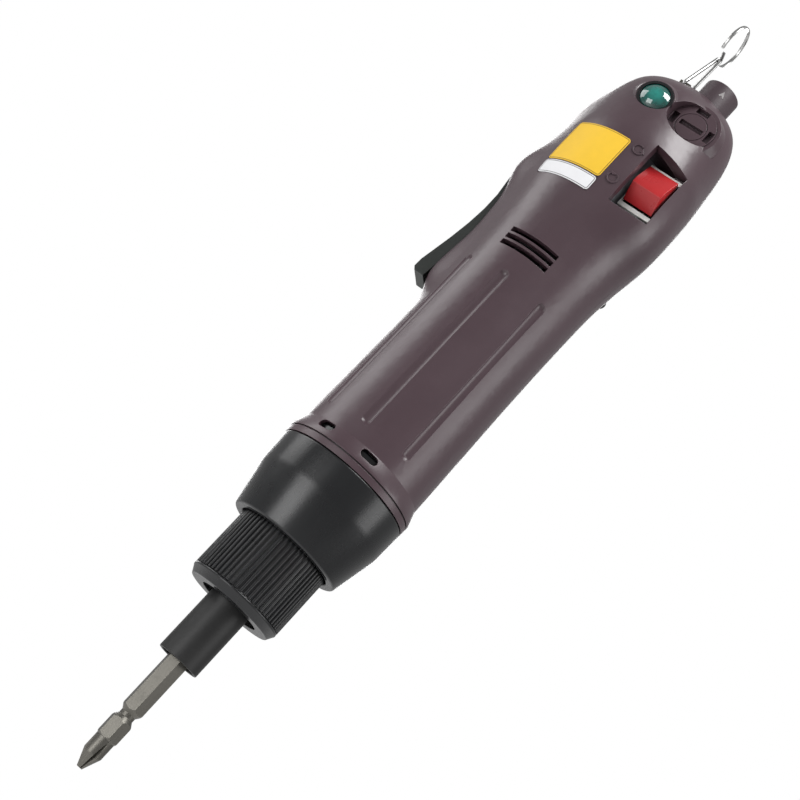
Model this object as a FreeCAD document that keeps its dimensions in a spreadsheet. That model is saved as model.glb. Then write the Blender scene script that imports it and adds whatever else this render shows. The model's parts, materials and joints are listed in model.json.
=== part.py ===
"""Inline electric screwdriver with lever start, torque nut, quick-release bit holder and hanging bail.

Frame: +Z runs along the tool from the bit's tip (origin) to the tail, -Y is the front with the labels,
-X is the lever's side and +X the reversing switch's side. All lengths are in millimetres.
"""
import FreeCAD, Part
import math
import os
import Sketcher

from FreeCAD import Placement, Rotation, Vector

doc = FreeCAD.newDocument("electric_screwdriver")

# Driving dimensions: name, value, meaning
DIMENSIONS = [
    ("run_gap", 0.05, "radial clearance of running fits"),
    ("play", 0.2, "side clearance of loose moving pieces"),
    ("bit_flats", 6.35, "bit hexagon across flats, quarter inch"),
    ("bit_length", 65.0, "double-ended bit"),
    ("bit_tip_r", 0.9, "blunt end of the point"),
    ("bit_round_r", 3.1, "round part behind the point"),
    ("bit_cone", 5.3, "length of the point's cone"),
    ("bit_round", 11.0, "where the hexagon begins"),
    ("bit_neck", 19.0, "tip to the middle of the lock groove"),
    ("bit_neck_half", 2.45, "half length of the lock groove"),
    ("bit_neck_r", 2.4, "radius in the lock groove"),
    ("bit_reach", 39.3, "length of bit that shows in front of the sleeve"),
    ("ball_r", 1.3, "lock ball"),
    ("spindle_r", 5.0, "spindle under the sleeve"),
    ("spindle_body_r", 5.9, "spindle behind the sleeve spring"),
    ("spindle_body", 60.0, "front of the thicker spindle"),
    ("snap_groove_r", 4.5, "bottom of the snap ring's groove"),
    ("snap_r", 5.8, "snap ring outside"),
    ("snap_thick", 0.8, "snap ring thickness"),
    ("sleeve_r", 6.95, "quick-release sleeve outside"),
    ("sleeve_length", 22.2, "quick-release sleeve"),
    ("sleeve_wire", 0.7, "sleeve spring wire"),
    ("knob_face", 60.6, "front face of the torque nut"),
    ("knob_face_r", 14.4, "torque nut at its face"),
    ("knob_r", 15.85, "torque nut over the ribs"),
    ("knob_band", 2.9, "plain chamfered band at the face"),
    ("knob_length", 39.4, "torque nut"),
    ("knob_hub", 19.4, "threaded length of the nut"),
    ("knob_cup_r", 13.6, "spring chamber inside the nut"),
    ("rib_height", 0.6, "grip ribs"),
    ("rib_count", 60.0, "grip ribs round the nut"),
    ("knob_travel", 5.0, "how far the nut screws in"),
    ("seat_thick", 1.6, "washer between nut and torque spring"),
    ("torque_wire", 1.8, "torque spring wire"),
    ("torque_turns", 6.0, "torque spring turns"),
    ("tube_front", 62.5, "front end of the threaded tube"),
    ("tube_r", 10.0, "threaded tube outside"),
    ("tube_bore", 7.25, "threaded tube inside"),
    ("nose_face", 84.0, "front face of the nose cap"),
    ("nose_face_r", 19.2, "nose cap at its face"),
    ("nose_cone", 16.5, "length of the nose cone"),
    ("nose_cone_r", 22.6, "nose cap where the cone ends"),
    ("nose_gap", 0.4, "between nut and nose cap"),
    ("seam", 110.0, "joint between nose cap and housing"),
    ("skirt", 7.0, "nose cap skirt inside the housing"),
    ("rim_r", 23.0, "housing at the joint with the nose cap"),
    ("lip_r", 23.2, "housing's lip behind the joint"),
    ("lip_place", 3.3, "from the joint to the lip"),
    ("lip_length", 7.6, "from the joint to the lip's end"),
    ("case_r", 18.5, "gear case outside"),
    ("case_wall", 1.2, "gear case wall"),
    ("case_front", 6.0, "gear case front wall"),
    ("case_end", 182.0, "rear end of the gear case"),
    ("bush_front", 92.0, "front spindle bush"),
    ("bush_length", 12.0, "front spindle bush"),
    ("washer_thick", 2.0, "thrust washer and thrust ring"),
    ("pin_circle", 12.6, "circle of the thrust pins"),
    ("pin_r", 1.5, "thrust pins"),
    ("pin_length", 11.0, "thrust pins"),
    ("clutch_lift", 1.2, "travel of the clutch when it lets go"),
    ("cam_r", 12.0, "clutch cams"),
    ("cam_length", 11.5, "driven cam"),
    ("cam_gap", 1.8, "between the two cams"),
    ("cam_ball_r", 2.4, "clutch balls"),
    ("cam_ball_circle", 8.5, "circle of the clutch balls"),
    ("drive_r", 4.2, "spindle inside the driven cam"),
    ("drive_flat", 3.3, "half width over the spindle's flats"),
    ("pilot_r", 2.4, "spindle pilot in the drive cam"),
    ("cam_neck_r", 9.0, "drive cam in its bearing"),
    ("bearing_front", 139.5, "output bearing"),
    ("bearing_length", 6.5, "output bearing"),
    ("module_size", 0.62, "tooth module"),
    ("sun_teeth", 12.0, "teeth on each sun"),
    ("planet_teeth", 18.0, "teeth on each planet"),
    ("gear_backlash", 0.1, "play between flanks"),
    ("carrier_r", 13.6, "carrier plates"),
    ("carrier_thick", 2.4, "carrier plates"),
    ("output_plate", 150.6, "front face of the output carrier"),
    ("stage_step", 12.9, "from output carrier to middle carrier"),
    ("planet_width", 7.4, "planet gears"),
    ("planet_pin_r", 1.5, "planet pins"),
    ("end_plate", 176.0, "gear case end plate"),
    ("shaft_r", 2.0, "motor shaft"),
    ("shaft_tip_r", 1.5, "motor shaft under the sun"),
    ("shaft_end", 279.0, "rear end of the motor shaft"),
    ("bearing_r", 5.5, "motor bearings outside"),
    ("bearing_thick", 4.0, "motor bearings"),
    ("fan_front", 190.0, "front of the fan blades"),
    ("fan_depth", 12.0, "fan"),
    ("fan_r", 16.0, "fan"),
    ("motor_r", 12.2, "motor can"),
    ("motor_wall", 0.6, "motor can wall"),
    ("motor_front", 206.0, "motor can"),
    ("motor_length", 52.0, "motor can"),
    ("core_r", 9.4, "laminated core"),
    ("core_length", 34.0, "laminated core"),
    ("air_gap", 0.5, "between core and magnets"),
    ("commutator_r", 9.8, "commutator"),
    ("commutator_length", 10.0, "commutator"),
    ("brush_place", 267.0, "brushes along the tool"),
    ("brush_side", 10.0, "brushes beside the axis"),
    ("brush_width", 5.0, "carbon brush across the tool"),
    ("brush_depth", 6.0, "carbon brush along the tool"),
    ("cap_face", 15.3, "brush cap face in front of the axis"),
    ("cap_r", 5.0, "brush cap"),
    ("collar_r", 8.1, "collar round the brush cap"),
    ("wall", 2.2, "housing wall"),
    ("tail_wall", 2.2, "housing wall across the tail"),
    ("groove_start", 124.5, "grip grooves"),
    ("groove_end", 186.0, "grip grooves"),
    ("groove_angle", 42.0, "degrees between grip grooves"),
    ("vent_start", 194.9, "first big vent"),
    ("vent_slot", 1.8, "big vents"),
    ("vent_rib", 0.8, "ribs between the big vents"),
    ("vent_angle", 24.0, "degrees from the front to a big vent's end"),
    ("small_vent", 115.9, "small vents"),
    ("small_vent_width", 2.8, "small vents along the tool"),
    ("small_vent_angle", 21.5, "degrees from the front to a small vent"),
    ("lever_tip", 177.4, "free end of the lever"),
    ("lever_pivot", 222.5, "lever pin along the tool"),
    ("lever_pivot_side", 23.5, "lever pin beside the axis"),
    ("lever_width", 10.0, "start lever"),
    ("lever_pin_r", 1.1, "lever pin"),
    ("lever_floor", 20.2, "floor of the lever's recess"),
    ("plunger_place", 212.0, "switch plunger along the tool"),
    ("plunger_r", 1.5, "switch plunger"),
    ("switch_floor", 13.8, "reversing switch recess in front of the axis"),
    ("switch_inner", 8.8, "reversing switch recess, inner side"),
    ("switch_outer", 21.2, "reversing switch recess, outer side"),
    ("switch_centre", 239.3, "middle of the reversing switch"),
    ("switch_half", 9.0, "half length of the reversing switch"),
    ("rocker_height", 6.6, "ridge of the rocker over the recess floor"),
    ("screw_side", 17.5, "housing screws beside the axis"),
    ("screw_r", 1.25, "housing screws"),
    ("screw_head_r", 2.4, "housing screw heads"),
    ("lamp_place", 266.5, "lamp along the tool"),
    ("lamp_side", 4.0, "lamp beside the axis, on the lever's side"),
    ("lamp_face", 19.9, "lamp lens rim in front of the axis"),
    ("lamp_r", 5.0, "lamp lens"),
    ("lamp_dome", 2.1, "height of the lens"),
    ("label_thick", 0.2, "labels"),
    ("label_left", 45.0, "degrees from the front to the labels' far edge"),
    ("label_right", 5.0, "degrees from the front to the labels' near edge"),
    ("number_plate", 223.4, "lower label"),
    ("number_plate_height", 5.3, "lower label"),
    ("colour_plate", 229.2, "upper label"),
    ("colour_plate_height", 16.8, "upper label"),
    ("socket_side", 5.0, "cord socket beside the axis"),
    ("socket_r", 6.4, "cord socket outside"),
    ("socket_bore", 5.0, "cord socket inside"),
    ("socket_end", 293.0, "rear end of the cord socket"),
    ("socket_depth", 7.0, "plug depth of the cord socket"),
    ("bail_side", 6.0, "bail pivot beside the axis"),
    ("bail_pivot", 286.2, "bail pivot along the tool"),
    ("bail_wire", 0.62, "radius of the bail's wire"),
    ("bail_half", 5.0, "half distance of the bail's legs"),
    ("bail_neck", 18.0, "from the bail's pivot to its neck"),
    ("bail_loop", 7.6, "radius of the bail's loop"),
    ("bail_lean", 6.0, "degrees that the bail leans to the switch's side"),
    ("plug_r", 3.5, "rubber plug at the shoulder"),
]

# Housing sections: name, place along the tool, side radius, front radius, lever ridge reach, corner bulge
SECTIONS = [
    ("joint", 110.0, 21.85, 21.85, 21.85, 0.0),
    ("barrel_front", 124.0, 21.7, 21.7, 21.7, 0.0),
    ("barrel_middle", 145.0, 21.4, 21.4, 21.4, 0.0),
    ("barrel_rear", 166.0, 21.15, 21.15, 21.15, 0.0),
    ("ridge_start", 171.5, 21.15, 21.15, 21.6, 0.0),
    ("ridge_rise", 176.5, 21.15, 21.15, 25.0, 0.0),
    ("ridge_front", 184.0, 21.2, 21.2, 25.6, 0.0),
    ("waist", 200.0, 21.5, 21.5, 24.6, 0.0),
    ("flare", 212.0, 22.4, 22.4, 25.2, 0.3),
    ("heel", 222.0, 23.6, 23.6, 27.4, 1.8),
    ("bump", 228.5, 24.2, 24.2, 29.0, 3.0),
    ("head", 237.0, 24.4, 24.4, 26.9, 3.2),
    ("head_rear", 248.0, 24.3, 24.2, 25.4, 2.8),
    ("cap_front", 257.0, 24.0, 22.8, 25.5, 1.2),
    ("cap_middle", 265.0, 23.5, 20.8, 23.7, 0.3),
    ("crown", 272.0, 22.4, 18.4, 21.2, 0.0),
    ("crown_rear", 277.5, 20.4, 15.4, 18.8, 0.0),
    ("tail_round", 281.5, 17.0, 12.0, 15.6, 0.0),
    ("tail", 284.0, 12.0, 8.6, 11.0, 0.0),
]


class Size:
    """A number together with the sheet expression that drives it."""

    def __init__(self, number, text):
        self.number = number
        self.text = text

    def __float__(self):
        return float(self.number)

    def __add__(self, other):
        other = sized(other)
        return Size(self.number + other.number, f"({self.text} + {other.text})")

    def __sub__(self, other):
        other = sized(other)
        return Size(self.number - other.number, f"({self.text} - {other.text})")

    def __mul__(self, other):
        other = sized(other)
        return Size(self.number * other.number, f"({self.text} * {other.text})")

    def __truediv__(self, other):
        other = sized(other)
        return Size(self.number / other.number, f"({self.text} / {other.text})")

    def __neg__(self):
        return Size(-self.number, f"(0 - {self.text})")

    __radd__ = __add__
    __rmul__ = __mul__

    def __rsub__(self, other):
        return sized(other) - self


def sized(value):
    """The value itself when it is a Size, or a fixed number as one."""
    return value if isinstance(value, Size) else Size(float(value), f"{float(value):.6f}")


class Sizes:
    """The driving dimensions, each one a Size bound to its cell."""


def write_sheet():
    """Fill the spreadsheet and give back its cells as Sizes."""
    sheet = doc.addObject("Spreadsheet::Sheet", "Dimensions")
    rows = list(DIMENSIONS)
    for name, *values in SECTIONS:
        for field, value in zip(("place", "side", "front", "ridge", "bulge"), values):
            rows.append((f"{name}_{field}", value, f"housing section {name}, {field}"))
    sizes = Sizes()
    for row, (name, value, meaning) in enumerate(rows, start=1):
        sheet.set(f"A{row}", meaning)
        sheet.set(f"B{row}", str(value))
        sheet.setAlias(f"B{row}", name)
        setattr(sizes, name, Size(value, f"Dimensions.{name}"))
    doc.recompute()
    return sizes


S = write_sheet()
NODES = []


def bind(item, path, value):
    """Drive one property of an object from the sheet."""
    value = sized(value)
    item.setExpression(path, value.text)


def keep(item):
    """Mark an object as a finished piece of the tool; its label names its file."""
    item.Label = item.Name
    NODES.append(item)
    return item


TURNS = {
    "+Z": Rotation(),
    "-Z": Rotation(Vector(1, 0, 0), 180),
    "+Y": Rotation(Vector(1, 0, 0), -90),
    "-Y": Rotation(Vector(1, 0, 0), 90),
    "+X": Rotation(Vector(0, 1, 0), 90),
    "-X": Rotation(Vector(0, 1, 0), -90),
}


def put(item, place, way="+Z"):
    """Turn an object to a direction and bind its base point."""
    item.Placement = Placement(Vector(*[float(v) for v in place]), TURNS[way])
    for letter, value in zip("xyz", place):
        bind(item, f"Placement.Base.{letter}", value)
    return item


def rod(name, radius, place, length, way="+Z"):
    """A cylinder from a base point along one of the six directions."""
    item = doc.addObject("Part::Cylinder", name)
    bind(item, "Radius", radius)
    bind(item, "Height", length)
    return put(item, place, way)


def cone(name, radius, end_radius, place, length, way="+Z"):
    """A cone's frustum from a base point along one of the six directions."""
    item = doc.addObject("Part::Cone", name)
    bind(item, "Radius1", radius)
    bind(item, "Radius2", end_radius)
    bind(item, "Height", length)
    return put(item, place, way)


def ball(name, radius, place):
    """A sphere round a point."""
    item = doc.addObject("Part::Sphere", name)
    bind(item, "Radius", radius)
    return put(item, place)


def block(name, low, high):
    """A box between two corners."""
    item = doc.addObject("Part::Box", name)
    for side, a, b in zip(("Length", "Width", "Height"), low, high):
        bind(item, side, sized(b) - a)
    return put(item, low)


def fuse(name, parts):
    """One solid of several."""
    item = doc.addObject("Part::MultiFuse", name)
    item.Shapes = parts
    return item


def group(name, parts):
    """Several separate solids in one node."""
    item = doc.addObject("Part::Compound", name)
    item.Links = parts
    return item


def cut(name, base, tools):
    """A solid less its cutters."""
    item = doc.addObject("Part::Cut", name)
    item.Base = base
    item.Tool = tools[0] if len(tools) == 1 else fuse(f"{name}_cutters", tools)
    return item


def common(name, parts):
    """What several solids share."""
    item = doc.addObject("Part::MultiCommon", name)
    item.Shapes = parts
    return item


def shaped(name, shape, place=None):
    """An object with a shape of its own, for forms that no primitive or sketch gives."""
    item = doc.addObject("Part::Feature", name)
    item.Shape = shape
    if place:
        item.Placement = place.multiply(item.Placement)
    return item


def outline_sketch(body, plane_role, points):
    """A closed polygon on an origin plane, every corner bound to the sheet."""
    plane = next(f for f in body.Origin.OriginFeatures if f.Role == plane_role)
    sketch = body.newObject("Sketcher::SketchObject", f"{body.Name}_outline")
    sketch.AttachmentSupport = [(plane, "")]
    sketch.MapMode = "FlatFace"
    spots = [Vector(float(a), float(b), 0) for a, b in points]
    lines = [Part.LineSegment(p, q) for p, q in zip(spots, spots[1:] + spots[:1])]
    sketch.addGeometry(lines, False)
    count = len(points)
    rules = [Sketcher.Constraint("Coincident", k, 2, (k + 1) % count, 1) for k in range(count)]
    bound = []
    for k, (a, b) in enumerate(points):
        for kind, value, axis in (("DistanceX", a, -2), ("DistanceY", b, -1)):
            if abs(float(value)) < 1e-9:
                rules.append(Sketcher.Constraint("PointOnObject", k, 1, axis))
            else:
                bound.append((len(rules), value))
                rules.append(Sketcher.Constraint(kind, -1, 1, k, 1, float(value)))
    sketch.addConstraint(rules)
    for index, value in bound:
        if isinstance(value, Size):
            sketch.setExpression(f"Constraints[{index}]", value.text)
    return sketch


def turned(name, points):
    """A body of revolution about the tool's axis; the corners are (radius, place along the tool)."""
    body = doc.addObject("PartDesign::Body", name)
    sketch = outline_sketch(body, "XZ_Plane", points)
    turn = body.newObject("PartDesign::Revolution", f"{name}_turn")
    turn.Profile = sketch
    turn.ReferenceAxis = (sketch, ["V_Axis"])
    turn.Angle = 360
    sketch.Visibility = False
    return body


def ring(name, inner, outer, low, high):
    """A plain ring about the tool's axis."""
    return turned(name, [(inner, low), (outer, low), (outer, high), (inner, high)])


def plate(name, plane_role, points, low, high):
    """A polygon padded from one offset to another along its plane's normal, as (a, b) corners."""
    body = doc.addObject("PartDesign::Body", name)
    sketch = outline_sketch(body, plane_role, points)
    start = -sized(high) if plane_role == "XZ_Plane" else sized(low)
    bind(sketch, "AttachmentOffset.Base.z", start)
    pad = body.newObject("PartDesign::Pad", f"{name}_pad")
    pad.Profile = sketch
    bind(pad, "Length", sized(high) - low)
    sketch.Visibility = False
    return body


def spring_shape(radius, wire, low, high, turns, corners=6):
    """A closed coil of polygonal wire about +Z between two heights."""
    rise = high - low - 2 * wire
    helix = Part.makeHelix(rise / turns, rise, radius)
    turns_round = [2 * math.pi * k / corners for k in range(corners + 1)]
    section = Part.makePolygon([Vector(radius + wire * math.cos(a), 0, wire * math.sin(a)) for a in turns_round])
    coil = Part.Wire(helix.Edges).makePipeShell([section], True, True)
    coil.translate(Vector(0, 0, low + wire))
    return coil


def hexagon(name, flats, low, high):
    """A hexagonal prism about the tool's axis."""
    item = doc.addObject("Part::Prism", name)
    item.Polygon = 6
    bind(item, "Circumradius", flats / math.sqrt(3))
    bind(item, "Height", sized(high) - low)
    return put(item, (0, 0, low))


def polar(radius, degrees):
    """A point of a circle, as two Sizes."""
    angle = math.radians(degrees)
    return radius * math.cos(angle), radius * math.sin(angle)


# Bit and quick-release holder

SECOND_NECK = S.bit_length - S.bit_neck
SOCKET_FLATS = S.bit_flats + 2 * S.run_gap
SOCKET_END = S.bit_length + 0.3
SPINDLE_NOSE = S.bit_reach + 1.0
SLEEVE_BORE = S.spindle_r + 2 * S.run_gap
SNAP_REAR = SECOND_NECK - S.ball_r - 0.55
SLEEVE_STEP = SNAP_REAR + 0.15
SLEEVE_END = S.bit_reach + S.sleeve_length


def flute_shape():
    """The four V flutes of a cross point, running out at the end of the round part."""
    flutes = []
    top = float(S.bit_round)
    for quarter in range(4):
        deep = Part.makePolygon([Vector(0.45, 0, -0.5), Vector(4.5, -2.6, -0.5), Vector(4.5, 2.6, -0.5),
                                 Vector(0.45, 0, -0.5)])
        shallow = Part.makePolygon([Vector(3.2, 0, top), Vector(4.5, -0.9, top), Vector(4.5, 0.9, top),
                                    Vector(3.2, 0, top)])
        flute = Part.makeLoft([deep, shallow], True, True)
        flute.rotate(Vector(), Vector(0, 0, 1), 45 + 90 * quarter)
        flutes.append(flute)
    return Part.makeCompound(flutes)


def make_bit():
    half = [
        (S.bit_tip_r, 0.0),
        (S.bit_round_r, S.bit_cone),
        (S.bit_round_r, S.bit_round - 0.6),
        (S.bit_flats * 0.58, S.bit_round + 0.2),
        (S.bit_flats * 0.58, S.bit_neck - S.bit_neck_half),
        (S.bit_neck_r, S.bit_neck - 0.6),
    ]
    ends = half + [(r, S.bit_length - z) for r, z in reversed(half)]
    middle = len(half)
    ends.insert(middle, (S.bit_neck_r, S.bit_neck + 0.6))
    ends.insert(middle + 1, (S.bit_flats * 0.58, S.bit_neck + S.bit_neck_half))
    ends.insert(middle + 2, (S.bit_flats * 0.58, S.bit_length - S.bit_neck - S.bit_neck_half))
    ends.insert(middle + 3, (S.bit_neck_r, S.bit_length - S.bit_neck - 0.6))
    round_bar = turned("bit_round_bar", [(0, 0)] + ends + [(0, S.bit_length)])
    hex_bar = hexagon("bit_hex_bar", S.bit_flats, 0, S.bit_length)
    bar = common("bit_bar", [round_bar, hex_bar])
    near = shaped("bit_flutes", flute_shape())
    turned_over = Placement(Vector(0, 0, float(S.bit_length)), Rotation(Vector(1, 0, 0), 180))
    far = shaped("bit_far_flutes", flute_shape(), turned_over)
    keep(cut("bit", bar, [near, far]))


def make_spindle():
    pilot_end = CAM_REAR + S.cam_gap + 5.5
    bar = turned("spindle_bar", [
        (0, SPINDLE_NOSE), (S.spindle_r, SPINDLE_NOSE),
        (S.spindle_r, SNAP_REAR - S.snap_thick - 0.05), (S.snap_groove_r, SNAP_REAR - S.snap_thick - 0.05),
        (S.snap_groove_r, SNAP_REAR), (S.spindle_r, SNAP_REAR),
        (S.spindle_r, S.spindle_body), (S.spindle_body_r, S.spindle_body),
        (S.spindle_body_r, CAM_FRONT - S.clutch_lift - S.washer_thick - 3.0),
        (S.drive_r, CAM_FRONT - S.clutch_lift - S.washer_thick - 3.0),
        (S.drive_r, CAM_REAR), (S.pilot_r, CAM_REAR), (S.pilot_r, pilot_end), (0, pilot_end),
    ])
    socket = hexagon("spindle_socket", SOCKET_FLATS, SPINDLE_NOSE - 1.0, SOCKET_END)
    holes = [rod(f"ball_hole_{way[0]}", S.ball_r + S.run_gap, (0, 0, SECOND_NECK), S.spindle_r + 1.0, way)
             for way in ("+Y", "-Y")]
    holes[0].Label = "ball_hole_rear"
    high = S.drive_r + 1.0
    flats = [block(f"spindle_flat_{k}", low, top) for k, (low, top) in enumerate((
        ((S.drive_flat, -high, CAM_FRONT - S.clutch_lift - 1.0), (high, high, CAM_REAR)),
        ((-high, -high, CAM_FRONT - S.clutch_lift - 1.0), (-S.drive_flat, high, CAM_REAR)),
    ))]
    keep(cut("spindle", bar, [socket] + holes + flats))
    reach = SLEEVE_BORE - S.ball_r - 0.03
    keep(group("lock_balls", [ball("lock_ball_front", S.ball_r, (0, -reach, SECOND_NECK)),
                              ball("lock_ball_rear", S.ball_r, (0, reach, SECOND_NECK))]))
    snap = ring("snap_ring_blank", S.snap_groove_r + 0.02, S.snap_r, SNAP_REAR - S.snap_thick, SNAP_REAR)
    gap = block("snap_ring_gap", (0, -1.4, SNAP_REAR - 2), (S.snap_r + 1, 1.4, SNAP_REAR + 2))
    keep(cut("snap_ring", snap, [gap]))


def make_sleeve():
    pocket = SECOND_NECK + 4.6
    relief = S.snap_r + 0.2
    edge = 0.5
    keep(turned("bit_sleeve", [
        (relief, S.bit_reach), (S.sleeve_r - edge, S.bit_reach), (S.sleeve_r, S.bit_reach + edge),
        (S.sleeve_r, SLEEVE_END - edge), (S.sleeve_r - edge, SLEEVE_END),
        (S.spindle_body_r + 0.15, SLEEVE_END), (S.spindle_body_r + 0.15, pocket), (SLEEVE_BORE, pocket),
        (SLEEVE_BORE, SLEEVE_STEP), (relief, SLEEVE_STEP),
    ]))
    wire = float(S.sleeve_wire) / 2
    mean = (float(SLEEVE_BORE) + float(S.spindle_body_r)) / 2
    coil = spring_shape(mean, wire, float(pocket) + 0.05, float(S.spindle_body) - 0.05, 4.0)
    keep(shaped("sleeve_spring", coil))


# Torque nut, its spring and the clutch

KNOB_END = S.knob_face + S.knob_length
KNOB_SEAT = S.knob_face + S.knob_hub
THREAD_R = S.tube_r + S.run_gap
THRUST_FRONT = S.seam - S.washer_thick
PIN_END = S.seam + S.pin_length
CAM_FRONT = PIN_END + S.washer_thick
CAM_REAR = CAM_FRONT + S.cam_length
DRIVE_CAM = CAM_REAR + S.cam_gap
CASE_BORE = S.case_r - S.case_wall
CASE_INSIDE = S.seam + S.case_front


def make_knob():
    core_r = S.knob_r - S.rib_height
    band_end = S.knob_face + S.knob_band
    core = turned("knob_core", [
        (THREAD_R, S.knob_face), (S.knob_face_r, S.knob_face), (S.knob_r - 0.3, band_end - 0.9),
        (S.knob_r, band_end - 0.6), (S.knob_r, band_end), (core_r, band_end),
        (core_r, KNOB_END), (S.knob_cup_r, KNOB_END), (S.knob_cup_r, KNOB_SEAT), (THREAD_R, KNOB_SEAT),
    ])
    low, high, count = float(core_r) - 0.4, float(S.knob_r), round(float(S.rib_count))
    step = 2 * math.pi / count
    corners = []
    for k in range(count):
        for share, radius in ((-0.34, float(core_r)), (-0.2, high), (0.2, high), (0.34, float(core_r))):
            angle = (k + share) * step
            corners.append(Vector(radius * math.cos(angle), radius * math.sin(angle), float(band_end)))
    ribs = Part.Face(Part.makePolygon(corners + corners[:1])).cut(Part.Face(
        Part.Wire(Part.makeCircle(low, Vector(0, 0, float(band_end))))))
    toothed = ribs.extrude(Vector(0, 0, float(S.knob_length) - float(S.knob_band)))
    keep(fuse("torque_nut", [core, shaped("knob_ribs", toothed)]))
    keep(ring("spring_seat", THREAD_R + S.run_gap, S.knob_cup_r - S.play, KNOB_SEAT, KNOB_SEAT + S.seat_thick))
    mean = (float(THREAD_R) + float(S.knob_cup_r)) / 2
    coil = spring_shape(mean, float(S.torque_wire) / 2, float(KNOB_SEAT + S.seat_thick),
                        float(THRUST_FRONT), float(S.torque_turns))
    keep(shaped("torque_spring", coil))


def make_clutch():
    washer = ring("thrust_washer", S.tube_r + S.play, S.pin_circle + S.pin_r + 1.0, THRUST_FRONT, S.seam)
    pins = []
    for k in range(3):
        x, y = polar(S.pin_circle, 90 + 120 * k)
        pins.append(rod(f"thrust_pin_{k}", S.pin_r, (x, y, THRUST_FRONT), S.washer_thick + S.pin_length))
    keep(fuse("thrust_plate", [washer] + pins))
    keep(ring("thrust_ring", S.spindle_body_r + 1.1, S.pin_circle + S.pin_r + 0.4, PIN_END, CAM_FRONT))
    blank = ring("driven_cam_blank", 0.5, S.cam_r, CAM_FRONT, CAM_REAR)
    bore = common("driven_cam_bore", [
        rod("driven_cam_round", S.drive_r + S.run_gap, (0, 0, CAM_FRONT - 1), S.cam_length + 2),
        block("driven_cam_flats", (-S.drive_flat - S.run_gap, -S.drive_r - 1, CAM_FRONT - 2),
              (S.drive_flat + S.run_gap, S.drive_r + 1, CAM_REAR + 2)),
    ])
    spots = [polar(S.cam_ball_circle, 30 + 120 * k) for k in range(3)]
    middle = CAM_REAR + S.cam_gap * 0.5 + 0.5
    dimples = [ball(f"cam_dimple_{k}", S.cam_ball_r + S.run_gap, (x, y, middle))
               for k, (x, y) in enumerate(spots)]
    keep(cut("driven_cam", blank, [bore] + dimples))
    keep(group("clutch_balls", [ball(f"clutch_ball_{k}", S.cam_ball_r, (x, y, middle))
                                for k, (x, y) in enumerate(spots)]))
    bearing_end = S.bearing_front + S.bearing_length
    plug_r = S.cam_neck_r - 4.0
    cam = turned("drive_cam_blank", [
        (0, CAM_REAR + S.cam_gap + 6.5), (S.pilot_r + S.run_gap, CAM_REAR + S.cam_gap + 6.5),
        (S.pilot_r + S.run_gap, DRIVE_CAM), (S.cam_r, DRIVE_CAM), (S.cam_r, S.bearing_front - 0.2),
        (S.cam_neck_r, S.bearing_front - 0.2), (S.cam_neck_r, bearing_end), (plug_r, bearing_end),
        (plug_r, S.output_plate + S.carrier_thick), (0, S.output_plate + S.carrier_thick),
    ])
    pockets = [ball(f"cam_pocket_{k}", S.cam_ball_r + 0.01, (x, y, middle)) for k, (x, y) in enumerate(spots)]
    cut("drive_cam", cam, pockets)
    bush_end = S.bush_front + S.bush_length
    keep(group("spindle_bearings", [
        ring("front_bush", S.spindle_body_r + S.run_gap, S.tube_bore, S.bush_front, bush_end),
        ring("output_bearing", S.cam_neck_r + S.run_gap, CASE_BORE, S.bearing_front, bearing_end),
    ]))


def make_gear_case():
    case = turned("gear_case_blank", [
        (S.tube_bore, S.tube_front), (S.tube_r - 0.6, S.tube_front), (S.tube_r, S.tube_front + 0.6),
        (S.tube_r, S.seam), (S.case_r, S.seam), (S.case_r, S.case_end), (CASE_BORE, S.case_end),
        (CASE_BORE, CASE_INSIDE), (S.tube_bore, CASE_INSIDE),
    ])
    holes = []
    for k in range(3):
        x, y = polar(S.pin_circle, 90 + 120 * k)
        holes.append(rod(f"pin_hole_{k}", S.pin_r + S.run_gap, (x, y, S.seam - 1), S.case_front + 2))
    keep(cut("gear_case", case, holes))
    bearings = [ring(f"{side}_motor_bearing", S.shaft_r + S.run_gap, S.bearing_r, low, low + S.bearing_thick)
                for side, low in (("front", S.end_plate + 1), ("rear", BEARING_FRONT))]
    keep(group("motor_bearings", bearings))


# Planetary gears

PRESSURE = math.radians(25)
ADDENDUM, DEDENDUM = 0.8, 1.05
GEAR_CENTRE = S.module_size * (S.sun_teeth + S.planet_teeth) / 2
RING_TEETH = round(float(S.sun_teeth) + 2 * float(S.planet_teeth))


def involute(angle):
    return math.tan(angle) - angle


def flank_angle(radius, teeth, slack):
    """Half the angle of a tooth at a radius, for an involute flank; slack thins it."""
    pitch_r = float(S.module_size) * teeth / 2
    base_r = pitch_r * math.cos(PRESSURE)
    here = math.acos(min(1.0, base_r / max(radius, base_r)))
    return math.pi / (2 * teeth) + involute(PRESSURE) - involute(here) - slack / (2 * pitch_r)


def tooth_wire(teeth, inner_r, outer_r, slack, first, height):
    """The outline of a toothed wheel whose teeth point outwards, tooth centres from the first angle on."""
    radii = (inner_r, (inner_r + outer_r) / 2, outer_r)
    halves = [flank_angle(radius, teeth, slack) for radius in radii]
    corners = []
    for k in range(teeth):
        centre = first + 2 * math.pi * k / teeth
        flank = [(radius, -half) for radius, half in zip(radii, halves)]
        flank += [(radius, half) for radius, half in zip(reversed(radii), reversed(halves))]
        corners += [Vector(r * math.cos(centre + a), r * math.sin(centre + a), height) for r, a in flank]
    return Part.makePolygon(corners + corners[:1])


def wheel_shape(teeth, bore, low, width, first):
    """A spur wheel about +Z with a round bore."""
    pitch_r = float(S.module_size) * teeth / 2
    outline = tooth_wire(teeth, pitch_r - DEDENDUM * float(S.module_size),
                         pitch_r + ADDENDUM * float(S.module_size), float(S.gear_backlash), first, low)
    hole = Part.Wire(Part.makeCircle(bore, Vector(0, 0, low)))
    return Part.Face(outline).cut(Part.Face(hole)).extrude(Vector(0, 0, width))


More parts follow.
